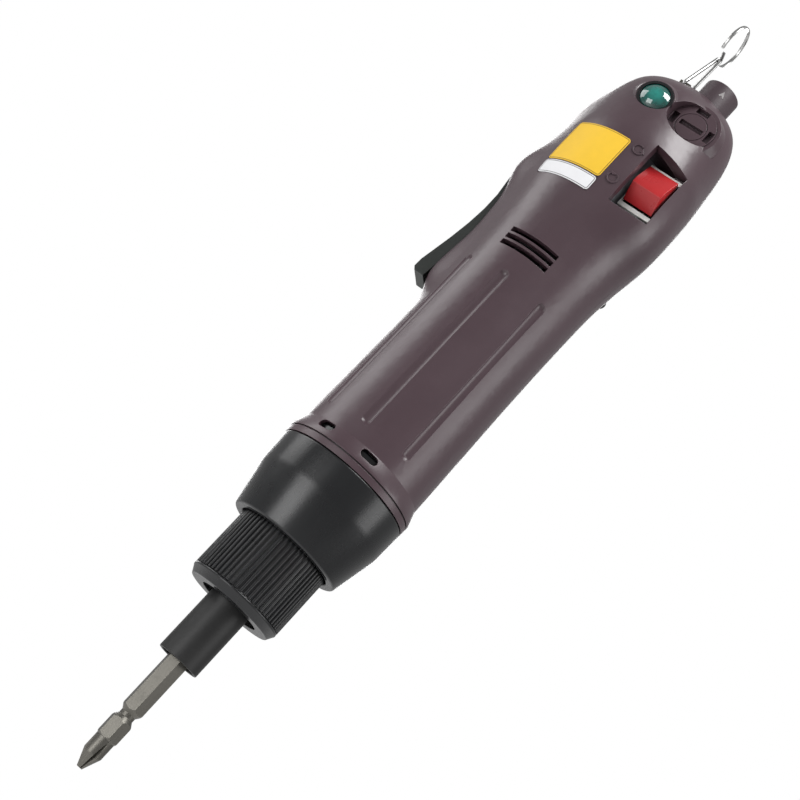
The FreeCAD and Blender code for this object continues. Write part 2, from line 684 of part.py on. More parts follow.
def ring_gear_shape(low, width):
    """The internal gear: its tooth spaces are the teeth of a wheel of the same size, a little wider."""
    teeth = RING_TEETH
    pitch_r = float(S.module_size) * teeth / 2
    tip_r = pitch_r - ADDENDUM * float(S.module_size)
    root_r = pitch_r + DEDENDUM * float(S.module_size)
    spaces = tooth_wire(teeth, tip_r, root_r, -float(S.gear_backlash), math.pi / teeth, low)
    rim = Part.Wire(Part.makeCircle(float(CASE_BORE), Vector(0, 0, low)))
    return Part.Face(rim).cut(Part.Face(spaces)).extrude(Vector(0, 0, width))


def make_gears():
    plate_end = S.output_plate + S.carrier_thick
    middle = S.output_plate + S.stage_step
    middle_end = middle + S.carrier_thick
    first_tooth = math.radians(180 / float(S.planet_teeth))
    teeth = shaped("ring_teeth", ring_gear_shape(float(S.output_plate), float(S.end_plate - S.output_plate)))
    keep(fuse("ring_gear", [teeth, ring("ring_gear_end", S.bearing_r, CASE_BORE, S.end_plate, S.case_end)]))
    sun_bar = wheel_shape(round(float(S.sun_teeth)), float(S.shaft_tip_r), float(plate_end) + 0.4,
                          float(middle_end - plate_end) - 0.4, 0.0)
    extras = {"output_carrier": doc.getObject("drive_cam"), "middle_carrier": shaped("output_sun", sun_bar)}
    for stage, (plate_z, name) in enumerate(((S.output_plate, "output_carrier"), (middle, "middle_carrier"))):
        hub_r = S.cam_neck_r - 4.5 if stage == 0 else S.shaft_tip_r + 0.5
        disc = ring(f"{name}_disc", hub_r, S.carrier_r, plate_z, plate_z + S.carrier_thick)
        pins = []
        for k in range(3):
            x, y = polar(GEAR_CENTRE, 120 * k)
            pins.append(rod(f"{name}_pin_{k}", S.planet_pin_r, (x, y, plate_z),
                            S.carrier_thick + S.planet_width + 0.6))
        keep(fuse(name, [disc, extras[name]] + pins))
        for k in range(3):
            turn = Rotation(Vector(0, 0, 1), 120 * k)
            centre = turn.multVec(Vector(float(GEAR_CENTRE), 0, 0))
            wheel = wheel_shape(round(float(S.planet_teeth)), float(S.planet_pin_r + S.run_gap),
                                float(plate_z + S.carrier_thick) + 0.3, float(S.planet_width), first_tooth)
            keep(shaped(f"{'output' if stage == 0 else 'input'}_planet_{k + 1}", wheel, Placement(centre, turn)))
    keep(shaped("input_sun", wheel_shape(round(float(S.sun_teeth)), float(S.shaft_tip_r),
                                         float(middle_end) + 0.4, float(S.planet_width) + 0.6, 0.0)))


# Motor

MOTOR_END = S.motor_front + S.motor_length
COIL_LENGTH = 4.2
CORE_FRONT = S.motor_front + 7.0
CORE_REAR = CORE_FRONT + S.core_length


def make_motor():
    sun_front = S.output_plate + S.stage_step + S.carrier_thick + 0.4
    keep(turned("motor_shaft", [
        (0, sun_front), (S.shaft_tip_r, sun_front), (S.shaft_tip_r, S.end_plate - 0.5),
        (S.shaft_r, S.end_plate - 0.5), (S.shaft_r, S.shaft_end), (0, S.shaft_end),
    ]))
    core = ring("core_blank", S.shaft_r, S.core_r, CORE_FRONT, CORE_REAR)
    slots = []
    for k in range(8):
        corner = Vector(4.4, -0.65, float(CORE_FRONT) - 1)
        slot = Part.makeBox(float(S.core_r), 1.3, float(S.core_length) + 2, corner)
        slot.rotate(Vector(), Vector(0, 0, 1), 45 * k)
        slots.append(slot)
    keep(cut("rotor_core", core, [shaped("core_slots", Part.makeCompound(slots))]))
    coils = [turned(f"coil_{end}", [(S.shaft_r, low), (S.core_r - 2.4, low), (S.core_r - 0.8, low + 1.4),
                                    (S.core_r - 0.8, low + COIL_LENGTH - 1.4), (S.core_r - 2.4, low + COIL_LENGTH),
                                    (S.shaft_r, low + COIL_LENGTH)])
             for end, low in (("front", CORE_FRONT - COIL_LENGTH), ("rear", CORE_REAR))]
    keep(group("rotor_windings", coils))
    can_r = S.motor_r - S.motor_wall
    can = turned("motor_can_tube", [
        (S.shaft_r + 2.5, S.motor_front), (S.motor_r, S.motor_front), (S.motor_r, MOTOR_END),
        (can_r, MOTOR_END), (can_r, S.motor_front + S.motor_wall), (S.shaft_r + 2.5, S.motor_front + S.motor_wall),
    ])
    keep(group("motor_can", [can, ring("motor_end_cap", S.shaft_r + 1.5, S.motor_r, MOTOR_END, MOTOR_END + 1.8)]))
    sleeve = ring("magnet_sleeve", S.core_r + S.air_gap, can_r, CORE_FRONT - 2, CORE_REAR + 2)
    splits = block("magnet_split", (-2.5, -S.motor_r, S.motor_front), (2.5, S.motor_r, MOTOR_END))
    keep(cut("motor_magnets", sleeve, [splits]))
    commutator_front = S.brush_place - S.commutator_length / 2
    keep(ring("commutator", S.shaft_r, S.commutator_r, commutator_front, commutator_front + S.commutator_length))


def make_fan():
    hub = ring("fan_hub", S.shaft_r, S.shaft_r + 2.2, S.fan_front, S.fan_front + S.fan_depth)
    disc = ring("fan_disc", S.shaft_r + 2.0, S.fan_r, S.fan_front + S.fan_depth - 1.4, S.fan_front + S.fan_depth)
    blades = []
    for k in range(9):
        blade = Part.makeBox(float(S.fan_r) - 4.6, 1.0, float(S.fan_depth) - 1.0,
                             Vector(4.0, -0.5, float(S.fan_front) + 0.6))
        blade.rotate(Vector(4.0, 0, 0), Vector(0, 0, 1), 12)
        blade.rotate(Vector(), Vector(0, 0, 1), 40 * k)
        blades.append(blade)
    keep(fuse("cooling_fan", [hub, disc, shaped("fan_blades", Part.makeCompound(blades))]))


BEARING_FRONT = S.shaft_end - S.bearing_thick - 1.0
SIDES = (("front", -1), ("rear", 1))


def brush_box(name, way, low, high, half_x, half_z):
    """A block round a brush's line, from one distance to another off the axis."""
    x = S.brush_side * -way
    y_low, y_high = (low, high) if way > 0 else (-sized(high), -sized(low))
    return block(name, (x - half_x, y_low, S.brush_place - half_z), (x + half_x, y_high, S.brush_place + half_z))


def brush_set(side, way):
    """Holder, carbon brush, spring, cap and collar of one side; the rear set is the front one turned half round."""
    x = S.brush_side * -way
    out = "+Y" if way > 0 else "-Y"
    half_x, half_z = S.brush_width / 2, S.brush_depth / 2
    cap_back = S.cap_face - 2.1
    holder_start = S.commutator_r - 0.6

    def line(distance):
        """A point of the brush's line at a distance in front of or behind the axis."""
        return x, sized(distance) * way, S.brush_place

    holder = rod(f"{side}_holder_rod", S.cap_r + 0.2, line(holder_start), cap_back - holder_start, out)
    slide_way = brush_box(f"{side}_holder_way", way, 0, S.cap_face + 2, half_x + S.run_gap, half_z + S.run_gap)
    holder = cut(f"{side}_brush_holder", holder, [slide_way])
    brush_tail = cap_back - 2.8
    brush = brush_box(f"{side}_brush_block", way, 0.6, brush_tail, half_x, half_z)
    worn = rod(f"{side}_brush_wear", S.commutator_r + 0.02, (0, 0, S.brush_place - 10), 20)
    brush = cut(f"{side}_carbon_brush", brush, [worn])
    coil = spring_shape(1.6, 0.25, float(brush_tail) + 0.02, float(cap_back) - 0.02, 3.0, 4)
    turn = Placement(Vector(float(x), 0, float(S.brush_place)), TURNS[out])
    spring = shaped(f"{side}_brush_spring", coil, turn)
    slot_deep, slot_half = 0.8, 0.65
    disc = rod(f"{side}_cap_disc", S.cap_r, line(cap_back), S.cap_face - cap_back, out)
    slot_low, slot_high = (S.cap_face - slot_deep, S.cap_face + 1)
    slot = brush_box(f"{side}_cap_slot", way, slot_low, slot_high, S.cap_r - 1.0, slot_half)
    cap = cut(f"{side}_brush_cap", disc, [slot])
    collar = rod(f"{side}_collar_rod", S.collar_r, line(S.cap_face - 2.8), 2.8, out)
    hole = rod(f"{side}_collar_hole", S.cap_r + 0.2, line(S.cap_face - 4), 5, out)
    notches = []
    for k, (dx, dz) in enumerate(((1, 0), (-1, 0), (0, 1), (0, -1))):
        reach = float(S.collar_r + S.cap_r) / 2 + 0.2
        low = S.cap_face - 1.2
        y_low, y_high = (low, S.cap_face + 1) if way > 0 else (-(S.cap_face + 1), -low)
        mid_x, mid_z = x + dx * reach, S.brush_place + dz * reach
        long_x, long_z = (0.65, 1.9) if dx else (1.9, 0.65)
        notches.append(block(f"{side}_notch_{k}", (mid_x - long_x, y_low, mid_z - long_z),
                             (mid_x + long_x, y_high, mid_z + long_z)))
    return holder, brush, spring, cap, cut(f"{side}_cap_collar", collar, [hole] + notches)


def make_brushes():
    sets = [brush_set(side, way) for side, way in SIDES]
    names = ("brush_holders", "carbon_brushes", "brush_springs", "brush_caps", "cap_collars")
    for name, pair in zip(names, zip(*sets)):
        keep(group(name, list(pair)))


# Housing

RIDGE_WIDTH = 27.0
BULGE_PLACE = -31.0
BULGE_WIDTH = 34.0
SECTION_POINTS = 24
SECTION_STEPS = 30


def section_radius(side, front, ridge, bulge, degrees):
    """Distance from the axis to the housing in one direction: an oval, a ridge on -X and a corner bulge."""
    angle = math.radians(degrees)
    oval = side * front / math.hypot(front * math.cos(angle), side * math.sin(angle))
    from_ridge = (degrees - 180 + 180) % 360 - 180
    from_bulge = (degrees - BULGE_PLACE + 180) % 360 - 180
    lift = (ridge - side) * math.exp(-((from_ridge / RIDGE_WIDTH) ** 4))
    corner = bulge * math.exp(-((from_bulge / BULGE_WIDTH) ** 2))
    return oval + lift + corner


def section_at(height):
    """The section's sizes at one place, on smooth curves through the stations that never overshoot them."""
    fields = ("place", "side", "front", "ridge", "bulge")
    rows = [[float(getattr(S, f"{name}_{field}")) for field in fields] for name, *_ in SECTIONS]
    places = [row[0] for row in rows]
    k = max(i for i in range(len(rows) - 1) if places[i] <= height or i == 0)
    span = places[k + 1] - places[k]
    share = (height - places[k]) / span
    values = []
    for field in range(1, len(fields)):
        heights = [row[field] for row in rows]

        def slope(i):
            if i == 0 or i == len(rows) - 1:
                return 0.0 if i == 0 else (heights[i] - heights[i - 1]) / (places[i] - places[i - 1])
            before = (heights[i] - heights[i - 1]) / (places[i] - places[i - 1])
            after = (heights[i + 1] - heights[i]) / (places[i + 1] - places[i])
            return 0.0 if before * after <= 0 else 2 * before * after / (before + after)

        rise, fall = slope(k) * span, slope(k + 1) * span
        square, cube = share ** 2, share ** 3
        values.append((2 * cube - 3 * square + 1) * heights[k] + (cube - 2 * square + share) * rise
                      + (3 * square - 2 * cube) * heights[k + 1] + (cube - square) * fall)
    return values


def housing_form(grow, end=0.0, plain=False):
    """The smooth outside of the housing, grown or shrunk; plain leaves the ridge and bulge away."""
    low, high = float(S.joint_place), float(S.tail_place)
    wires = []
    for step in range(SECTION_STEPS + 1):
        height = low + (high - low) * step / SECTION_STEPS
        side, front, ridge, bulge = section_at(height)
        if plain:
            ridge, bulge = side, 0.0
        points = []
        for k in range(SECTION_POINTS):
            degrees = 360.0 * k / SECTION_POINTS
            radius = section_radius(side + grow, front + grow, ridge + grow, bulge, degrees)
            points.append(Vector(radius * math.cos(math.radians(degrees)),
                                 radius * math.sin(math.radians(degrees)), height + end * step / SECTION_STEPS))
        curve = Part.BSplineCurve()
        curve.interpolate(points, PeriodicFlag=True)
        wires.append(Part.Wire(curve.toShape()))
    return Part.makeLoft(wires, True, False, False)


def sector(name, inner, outer, low, high, start, sweep):
    """Part of a ring between two angles, counted from +X."""
    body = doc.addObject("PartDesign::Body", name)
    sketch = outline_sketch(body, "XZ_Plane", [(inner, low), (outer, low), (outer, high), (inner, high)])
    turn = body.newObject("PartDesign::Revolution", f"{name}_turn")
    turn.Profile = sketch
    turn.ReferenceAxis = (sketch, ["V_Axis"])
    bind(turn, "Angle", sweep)
    body.Placement = Placement(Vector(), Rotation(Vector(0, 0, 1), start))
    return body


def groove_shape(degrees):
    """A soft groove with round ends that follows the barrel's slight taper."""
    cutter_r, lift = 2.3, 1.55
    start = Vector(float(S.barrel_front_side) + lift, 0, float(S.groove_start))
    end = Vector(float(S.barrel_rear_side) + lift, 0, float(S.groove_end))
    run = end - start
    shape = Part.makeCylinder(cutter_r, run.Length, start, run)
    shape = shape.fuse([Part.makeSphere(cutter_r, start), Part.makeSphere(cutter_r, end)])
    shape.rotate(Vector(), Vector(0, 0, 1), degrees)
    return shape


def small_vent_shape(degrees):
    """An obround hole through the wall, long way round the barrel."""
    half = float(S.small_vent_width) / 2
    low = float(S.case_r) - 0.4
    height = float(S.lip_r) + 2 - low
    shape = Part.makeBox(height, 3.2, 2 * half, Vector(low, -1.6, float(S.small_vent) - half))
    for y in (-1.6, 1.6):
        shape = shape.fuse(Part.makeCylinder(half, height, Vector(low, y, float(S.small_vent)), Vector(1, 0, 0)))
    shape.rotate(Vector(), Vector(0, 0, 1), degrees)
    return shape


# Housing screws: name, side of the axis, place along the tool
SCREWS = [("upper_right", 1, 212.0), ("lower_right", 1, 256.6), ("upper_left", -1, 227.0),
          ("lower_left", -1, 257.0)]
SCREW_SEAT = 11.0
SCREW_TIP = -9.0
BOSS_R = 2.9
SWITCH_LOW = S.switch_centre - S.switch_half
SWITCH_HIGH = S.switch_centre + S.switch_half
MOTOR_WAY = S.motor_r + S.run_gap
PLUG_PLACE = Placement(Vector(-15.2, 0, 281.2), Rotation(Vector(0, 1, 0), -42))


def make_housing():
    top = float(S.tail_place) + 5
    turned("front_lip", [
        (S.joint_side - S.wall, S.seam), (S.rim_r, S.seam), (S.lip_r, S.seam + S.lip_place),
        (S.joint_side, S.seam + S.lip_length), (S.joint_side - 1.0, S.seam + S.lip_length + 2.5),
        (S.joint_side - S.wall, S.seam + S.lip_length + 2.5),
    ])
    ribs = [ring("front_motor_rib", MOTOR_WAY, 30, 223.0, 225.0),
            ring("rear_motor_rib", MOTOR_WAY, 30, 252.0, 254.0),
            ring("bearing_rib", S.bearing_r, 30, BEARING_FRONT, BEARING_FRONT + S.bearing_thick)]
    bosses = [rod(f"screw_boss_{name}", BOSS_R, (S.screw_side * way, -24, z), 48, "+Y") for name, way, z in SCREWS]
    boss_r = S.collar_r + 1.8
    for side, way in SIDES:
        start = S.commutator_r + 0.9
        place = (S.brush_side * -way, start * way, S.brush_place)
        bosses.append(rod(f"{side}_brush_boss", boss_r, place, 14, "+Y" if way > 0 else "-Y"))
    bosses.append(rod("lamp_boss_inside", S.lamp_r + 1.9, (-S.lamp_side, -S.lamp_face + 5.5, S.lamp_place),
                      6, "-Y"))
    bosses.append(block("anchor_block", (-S.bail_side - 4, -6.5, ANCHOR_LOW - 1),
                        (-S.bail_side + 4, 6.5, S.tail_place)))
    tray = S.lever_width / 2 + S.play + 1.6
    bosses.append(block("lever_tray", (-30, -tray, S.lever_tip - 2.4),
                        (-S.lever_floor + 1.4, tray, S.lever_pivot + 6.2)))
    rim_r = boss_r + 1.2
    lamp_back = (-S.lamp_side, -S.lamp_face + 4, S.lamp_place)
    cap_back = (S.brush_side, -S.cap_face + 4, S.brush_place)
    collars = [cone("lamp_collar", S.lamp_r + 4.2, S.lamp_r + 1.3, lamp_back, 4.1, "-Y"),
               cone("cap_rim", rim_r, rim_r - 1.6, cap_back, 3.6, "-Y")]

    tools = [rod("case_way", S.case_r + S.run_gap, (0, 0, S.seam - 2), S.case_end - S.seam + 3)]
    tools.append(rod("motor_way", MOTOR_WAY, (0, 0, S.motor_front - 1), S.motor_length + 3))
    tools.append(rod("skirt_way", SKIRT_R + S.run_gap, (0, 0, S.seam - 2), S.skirt + 2.2))
    tools.append(ring("seam_line", S.rim_r - 0.45, 26, S.seam + 2.0, S.seam + 2.5))
    for k, angle in enumerate((-float(S.groove_angle), 0, float(S.groove_angle))):
        for half, face in (("front", -90), ("rear", 90)):
            tools.append(shaped(f"groove_{half}_{k}", groove_shape(face + angle)))
    for half, face in (("front", -90), ("rear", 90)):
        for k, side in enumerate((-1, 1)):
            turn = face + side * float(S.small_vent_angle)
            tools.append(shaped(f"small_vent_{half}_{k}", small_vent_shape(turn)))
        for k in range(3):
            low = S.vent_start + (S.vent_slot + S.vent_rib) * k
            tools.append(sector(f"vent_{half}_{k}", S.waist_side - S.wall - 1, 30, low, low + S.vent_slot,
                                face - float(S.vent_angle), 2 * S.vent_angle))
    side_way = S.lever_width / 2 + S.play
    tools.append(block("lever_way", (-40, -side_way, S.lever_tip - 0.8),
                       (-S.lever_floor, side_way, S.lever_pivot + 4.6)))
    tools.append(rod("lever_pin_way", S.lever_pin_r, (-S.lever_pivot_side, -LEVER_PIN / 2, S.lever_pivot),
                     LEVER_PIN, "+Y"))
    tools.append(rod("plunger_way", S.plunger_r + S.run_gap, (-S.lever_floor - 2, 0, S.plunger_place), 8, "+X"))
    tools.append(rod("spring_way", LEVER_SPRING_R + 0.6, (-S.lever_floor - 1, 0, LEVER_SPRING), 1.4, "+X"))
    tools.append(micro_switch_box("micro_switch_way", 0.1))
    tools.append(plate("switch_way", "YZ_Plane", [
        (-S.switch_floor, SWITCH_LOW), (-S.switch_floor, SWITCH_HIGH + 1.2), (-26, SWITCH_HIGH + 2.6),
        (-26, SWITCH_LOW - 6.5), (-S.switch_floor - 3.0, SWITCH_LOW - 1.6)], S.switch_inner, S.switch_outer))
    tools.append(block("switch_window", (S.switch_inner + 0.6, -S.switch_floor - 1, SWITCH_LOW + 1.6),
                       (S.switch_outer - 0.6, -S.switch_floor + 3, SWITCH_HIGH - 1.6)))
    tools.append(switch_body_box("switch_body_way", 0.1))
    for side, way in SIDES:
        x, out = S.brush_side * -way, "+Y" if way > 0 else "-Y"
        tools.append(rod(f"{side}_collar_way", S.collar_r + S.run_gap,
                         (x, (S.cap_face - 2.8) * way, S.brush_place), 20, out))
        tools.append(rod(f"{side}_holder_bore", S.cap_r + 0.2, (x, 8.0 * way, S.brush_place), 20, out))
    tools.append(rod("lamp_ring_way", S.lamp_r + 0.9, (-S.lamp_side, -S.lamp_face + 1.6, S.lamp_place), 10, "-Y"))
    tools.append(rod("lamp_body_way", LAMP_BODY_R, (-S.lamp_side, -S.commutator_r - 0.9, S.lamp_place), 10, "-Y"))
    for name, way, z in SCREWS:
        tools.append(rod(f"screw_way_{name}", S.screw_r, (S.screw_side * way, SCREW_TIP, z), 30, "+Y"))
        tools.append(rod(f"head_way_{name}", S.screw_head_r + 0.2, (S.screw_side * way, SCREW_SEAT, z), 30, "+Y"))
    tools.append(rod("socket_way", S.socket_r, (S.socket_side, 0, S.tail_place - 4), 12))
    tools.append(rod("socket_flange_way", SOCKET_FLANGE_R, (S.socket_side, 0, SOCKET_START), SOCKET_FLANGE))
    tools.append(block("anchor_way", (-S.bail_side - ANCHOR_X, -ANCHOR_Y, ANCHOR_LOW),
                       (-S.bail_side + ANCHOR_X, ANCHOR_Y, top)))
    tools.append(shaped("plug_way", Part.makeCylinder(float(S.plug_r) - 1.1, 7, Vector(0, 0, -4)), PLUG_PLACE))
    tools.append(shaped("plug_seat", Part.makeCylinder(float(S.plug_r) + 0.02, 5, Vector(0, 0, 0)), PLUG_PLACE))
    doc.recompute()
    limit = Part.makeBox(80, 40, 200, Vector(-40, 0, float(S.seam)))
    carriers = fuse_list(ribs + bosses).common(housing_form(-0.6, plain=True))
    for side, way in SIDES:
        half = limit.copy()
        if way < 0:
            half.translate(Vector(0, -40, 0))
        wall = shell_wall(half)
        added = carriers.common(half).Solids
        added += [collar.Shape for collar in collars if way < 0]
        reach = [tool.Shape for tool in tools if reaches(tool.Shape.BoundBox, way)]
        keep(shaped(f"{side}_shell", wall.fuse(added).cut(reach).common(half)))


def fuse_list(items):
    """The shapes of several objects as one."""
    shapes = [item.Shape for item in items]
    return shapes[0].fuse(shapes[1:])


def shell_wall(half):
    """One half of the housing's skin."""
    outside = housing_form(0.0).fuse(doc.getObject("front_lip").Shape).common(half)
    return outside.cut(housing_form(-float(S.wall), -float(S.tail_wall), plain=True))


def reaches(box, way):
    """Whether a cutter reaches into the half on one side of the parting plane."""
    return box.YMax > 0.01 if way > 0 else box.YMin < -0.01


SKIRT_R = S.rim_r - S.wall - 0.1


def make_nose():
    bore = S.knob_r + S.nose_gap
    edge = 1.0
    keep(turned("nose_cap", [
        (bore, S.nose_face), (S.nose_face_r - edge, S.nose_face),
        (S.nose_face_r - edge * 0.3, S.nose_face + edge * 0.3),
        (S.nose_face_r, S.nose_face + edge), (S.nose_cone_r - 0.25, S.nose_face + S.nose_cone - 2.0),
        (S.nose_cone_r, S.nose_face + S.nose_cone), (S.rim_r, S.seam),
        (SKIRT_R, S.seam), (SKIRT_R, S.seam + S.skirt), (S.case_r + S.run_gap, S.seam + S.skirt),
        (S.case_r + S.run_gap, S.seam), (bore, S.seam),
    ]))


# Start lever

LEVER_PIN = 15.0
LEVER_SPRING = 192.0
LEVER_SPRING_R = 2.4
SWITCH_BOX = 5.2


def micro_switch_box(name, grow):
    """The start switch beside the motor, inside the recess floor."""
    front = -S.lever_floor + 1.6
    return block(name, (front - grow, -4.8 - grow, S.plunger_place - 6 - grow),
                 (front + SWITCH_BOX + grow, 4.8 + grow, S.plunger_place + 9 + grow))


def make_lever():
    half = S.lever_width / 2
    tip, pivot, side = S.lever_tip, S.lever_pivot, S.lever_pivot_side
    blank = plate("lever_blank", "XZ_Plane", [
        (-30.1 + 0.9, tip), (-30.1, tip + 1.2), (-30.0, tip + 4.5), (-29.2, tip + 9), (-27.9, tip + 16),
        (-26.8, tip + 24), (-26.3, tip + 31), (-26.4, tip + 37.5), (-27.1, tip + 43),
        (-27.6, pivot + 1.6), (-27.2, pivot + 3.2), (-side, pivot + 3.6), (-side + 2.6, pivot + 1.6),
        (-side + 2.6, pivot - 2.4), (-side + 1.5, pivot - 6), (-22.2, pivot - 14), (-23.6, tip + 21),
        (-25.7, tip)], -half, half)
    holes = [rod("lever_pin_hole", S.lever_pin_r + S.run_gap, (-side, -half - 1, pivot), S.lever_width + 2, "+Y"),
             rod("lever_spring_cup", LEVER_SPRING_R + 0.3, (-23.6 - 1.2, 0, LEVER_SPRING), 4, "+X")]
    keep(cut("start_lever", blank, holes))
    keep(rod("lever_pin", S.lever_pin_r, (-side, -LEVER_PIN / 2, pivot), LEVER_PIN, "+Y"))
    coil = spring_shape(LEVER_SPRING_R - 0.3, 0.25, 0.02, 4.38, 3.0, 4)
    place = Placement(Vector(-float(S.lever_floor) + 0.4, 0, LEVER_SPRING), TURNS["-X"])
    keep(shaped("lever_spring", coil, place))
    body = micro_switch_box("micro_switch_body", 0)
    front = -S.lever_floor + 1.6
    bore = rod("micro_switch_bore", S.plunger_r + S.run_gap, (front - 1, 0, S.plunger_place), 4.2, "+X")
    keep(cut("start_switch", body, [bore]))
    plunger_head = -21.9
    keep(rod("switch_plunger", S.plunger_r, (plunger_head, 0, S.plunger_place), front + 1.2 - plunger_head, "+X"))


# Reversing switch

ROCKER_R = 3.2


def switch_body_box(name, grow):
    """The reversing switch under the recess floor."""
    return block(name, (S.switch_inner + 0.1 - grow, -S.switch_floor + 1.8 - grow, SWITCH_LOW + 0.2 - grow),
                 (S.switch_outer - 0.1 + grow, -S.switch_floor + 4.5 + grow, SWITCH_HIGH - 0.2 + grow))


def make_switch():
    inner, outer, centre = S.switch_inner, S.switch_outer, S.switch_centre
    pivot = S.switch_floor - 0.1
    body = switch_body_box("switch_body_box", 0)
    cradle = rod("rocker_cradle", ROCKER_R + 0.3, (inner + 1.1, -pivot, centre), outer - inner - 2.2, "+X")
    keep(cut("switch_body", body, [cradle]))
    bars = block("bezel_plate", (inner + 0.1, -S.switch_floor - 1.3, SWITCH_LOW + 0.1),
                 (outer - 0.1, -S.switch_floor, SWITCH_HIGH - 0.1))
    hole = block("bezel_hole", (inner + 0.6, -S.switch_floor - 3, SWITCH_LOW + 1.7),
                 (outer - 0.6, -S.switch_floor + 1, SWITCH_HIGH - 1.7))
    keep(cut("switch_bezel", bars, [hole]))
    top = S.switch_floor + S.rocker_height
    side = 6.9
    roof = plate("rocker_roof", "YZ_Plane", [
        (-S.switch_floor - 1.9, centre - side), (-top, centre - 2.4), (-top, centre - 0.2),
        (-S.switch_floor - 3.6, centre + side), (-S.switch_floor - 1.7, centre + side),
        (-pivot, centre + 2.8), (-pivot, centre - 2.8)], inner + 0.9, outer - 0.9)
    barrel = rod("rocker_barrel", ROCKER_R, (inner + 1.3, -pivot, centre), outer - inner - 2.6, "+X")
    keep(fuse("reverse_rocker", [roof, barrel]))


# Lamp, labels, board, screws and the pieces of the tail

LAMP_BODY_R = 3.2
SOCKET_START = S.tail_place - 4.6
SOCKET_FLANGE = 2.0
SOCKET_FLANGE_R = S.socket_r + 1.0
ANCHOR_X, ANCHOR_Y = 2.0, 3.4
ANCHOR_LOW = S.tail_place - 4.5


def make_lamp():
    base = (-S.lamp_side, -S.lamp_face, S.lamp_place)
    rim = rod("lamp_ring_rod", S.lamp_r + 0.9, (base[0], base[1] + 1.6, base[2]), 2.0, "-Y")
    seat = rod("lamp_ring_hole", S.lamp_r, (base[0], base[1] + 1.0, base[2]), 4.0, "-Y")
    body = rod("lamp_body", LAMP_BODY_R, (base[0], -S.commutator_r - 1.0, base[2]),
               S.lamp_face - 1.0 - S.commutator_r - 1.0, "-Y")
    keep(fuse("lamp_holder", [cut("lamp_ring", rim, [seat]), body]))
    dome_r = (S.lamp_r * S.lamp_r + S.lamp_dome * S.lamp_dome) / (2 * S.lamp_dome)
    globe = ball("lens_globe", dome_r, (base[0], base[1] - S.lamp_dome + dome_r, base[2]))
    column = rod("lens_column", S.lamp_r - 0.03, (base[0], base[1] + 1.0, base[2]), S.lamp_dome + 3.0, "-Y")
    keep(common("lamp_lens", [globe, column]))


def make_labels():
    skin = housing_form(float(S.label_thick))
    core = housing_form(0.0)
    shell = shaped("label_skin", skin.cut(core))
    for name, low, height in (("number_label", S.number_plate, S.number_plate_height),
                              ("colour_label", S.colour_plate, S.colour_plate_height)):
        patch = sector(f"{name}_patch", 18, 30, low, low + height, -90 - float(S.label_left),
                       S.label_left + S.label_right)
        keep(common(name, [shell, patch]))


def make_board():
    sheet = block("board_sheet", (-16.0, -8.5, 229.6), (-14.8, 8.5, 251.6))
    relay = block("board_relay", (-14.8, -8.3, 231.0), (-13.0, -5.0, 239.0))
    choke = rod("board_capacitor", 1.7, (-16.0, 4.5, 240.0), 3.4, "-X")
    keep(fuse("circuit_board", [sheet, relay, choke]))


def make_screws():
    screws = []
    for name, way, z in SCREWS:
        x = S.screw_side * way
        shank = rod(f"shank_{name}", S.screw_r, (x, SCREW_TIP, z), SCREW_SEAT - SCREW_TIP, "+Y")
        head = rod(f"head_{name}", S.screw_head_r, (x, SCREW_SEAT, z), 1.6, "+Y")
        cross = [block(f"cross_{k}_{name}", (x - a, SCREW_SEAT + 0.8, z - b), (x + a, SCREW_SEAT + 3, z + b))
                 for k, (a, b) in enumerate(((1.4, 0.3), (0.3, 1.4)))]
        screws.append(cut(f"screw_{name}", fuse(f"screw_blank_{name}", [shank, head]), cross))
    keep(group("housing_screws", screws))


def make_socket():
    x = S.socket_side
    outer = rod("socket_rod", S.socket_r, (x, 0, SOCKET_START), S.socket_end - SOCKET_START)
    flange = rod("socket_flange", SOCKET_FLANGE_R, (x, 0, SOCKET_START), SOCKET_FLANGE)
    seat = S.socket_end - S.socket_depth
    insert_r = S.socket_bore - 0.5
    bore = rod("socket_bore_rod", S.socket_bore, (x, 0, seat), S.socket_depth + 2)
    seat_bore = rod("socket_seat_bore", insert_r, (x, 0, SOCKET_START - 1), seat - SOCKET_START + 2)
    keep(cut("cord_socket", fuse("socket_blank", [outer, flange]), [bore, seat_bore]))
    low = seat - 4.0
    disc = rod("contact_disc", insert_r, (x, 0, low), 4.0)
    holes = []
    for k in range(3):
        dx, dy = polar(2.6, 30 + 120 * k)
        holes.append(rod(f"contact_hole_{k}", 0.8, (x + dx, dy, low + 1), 5.0))
    keep(cut("socket_insert", disc, holes))


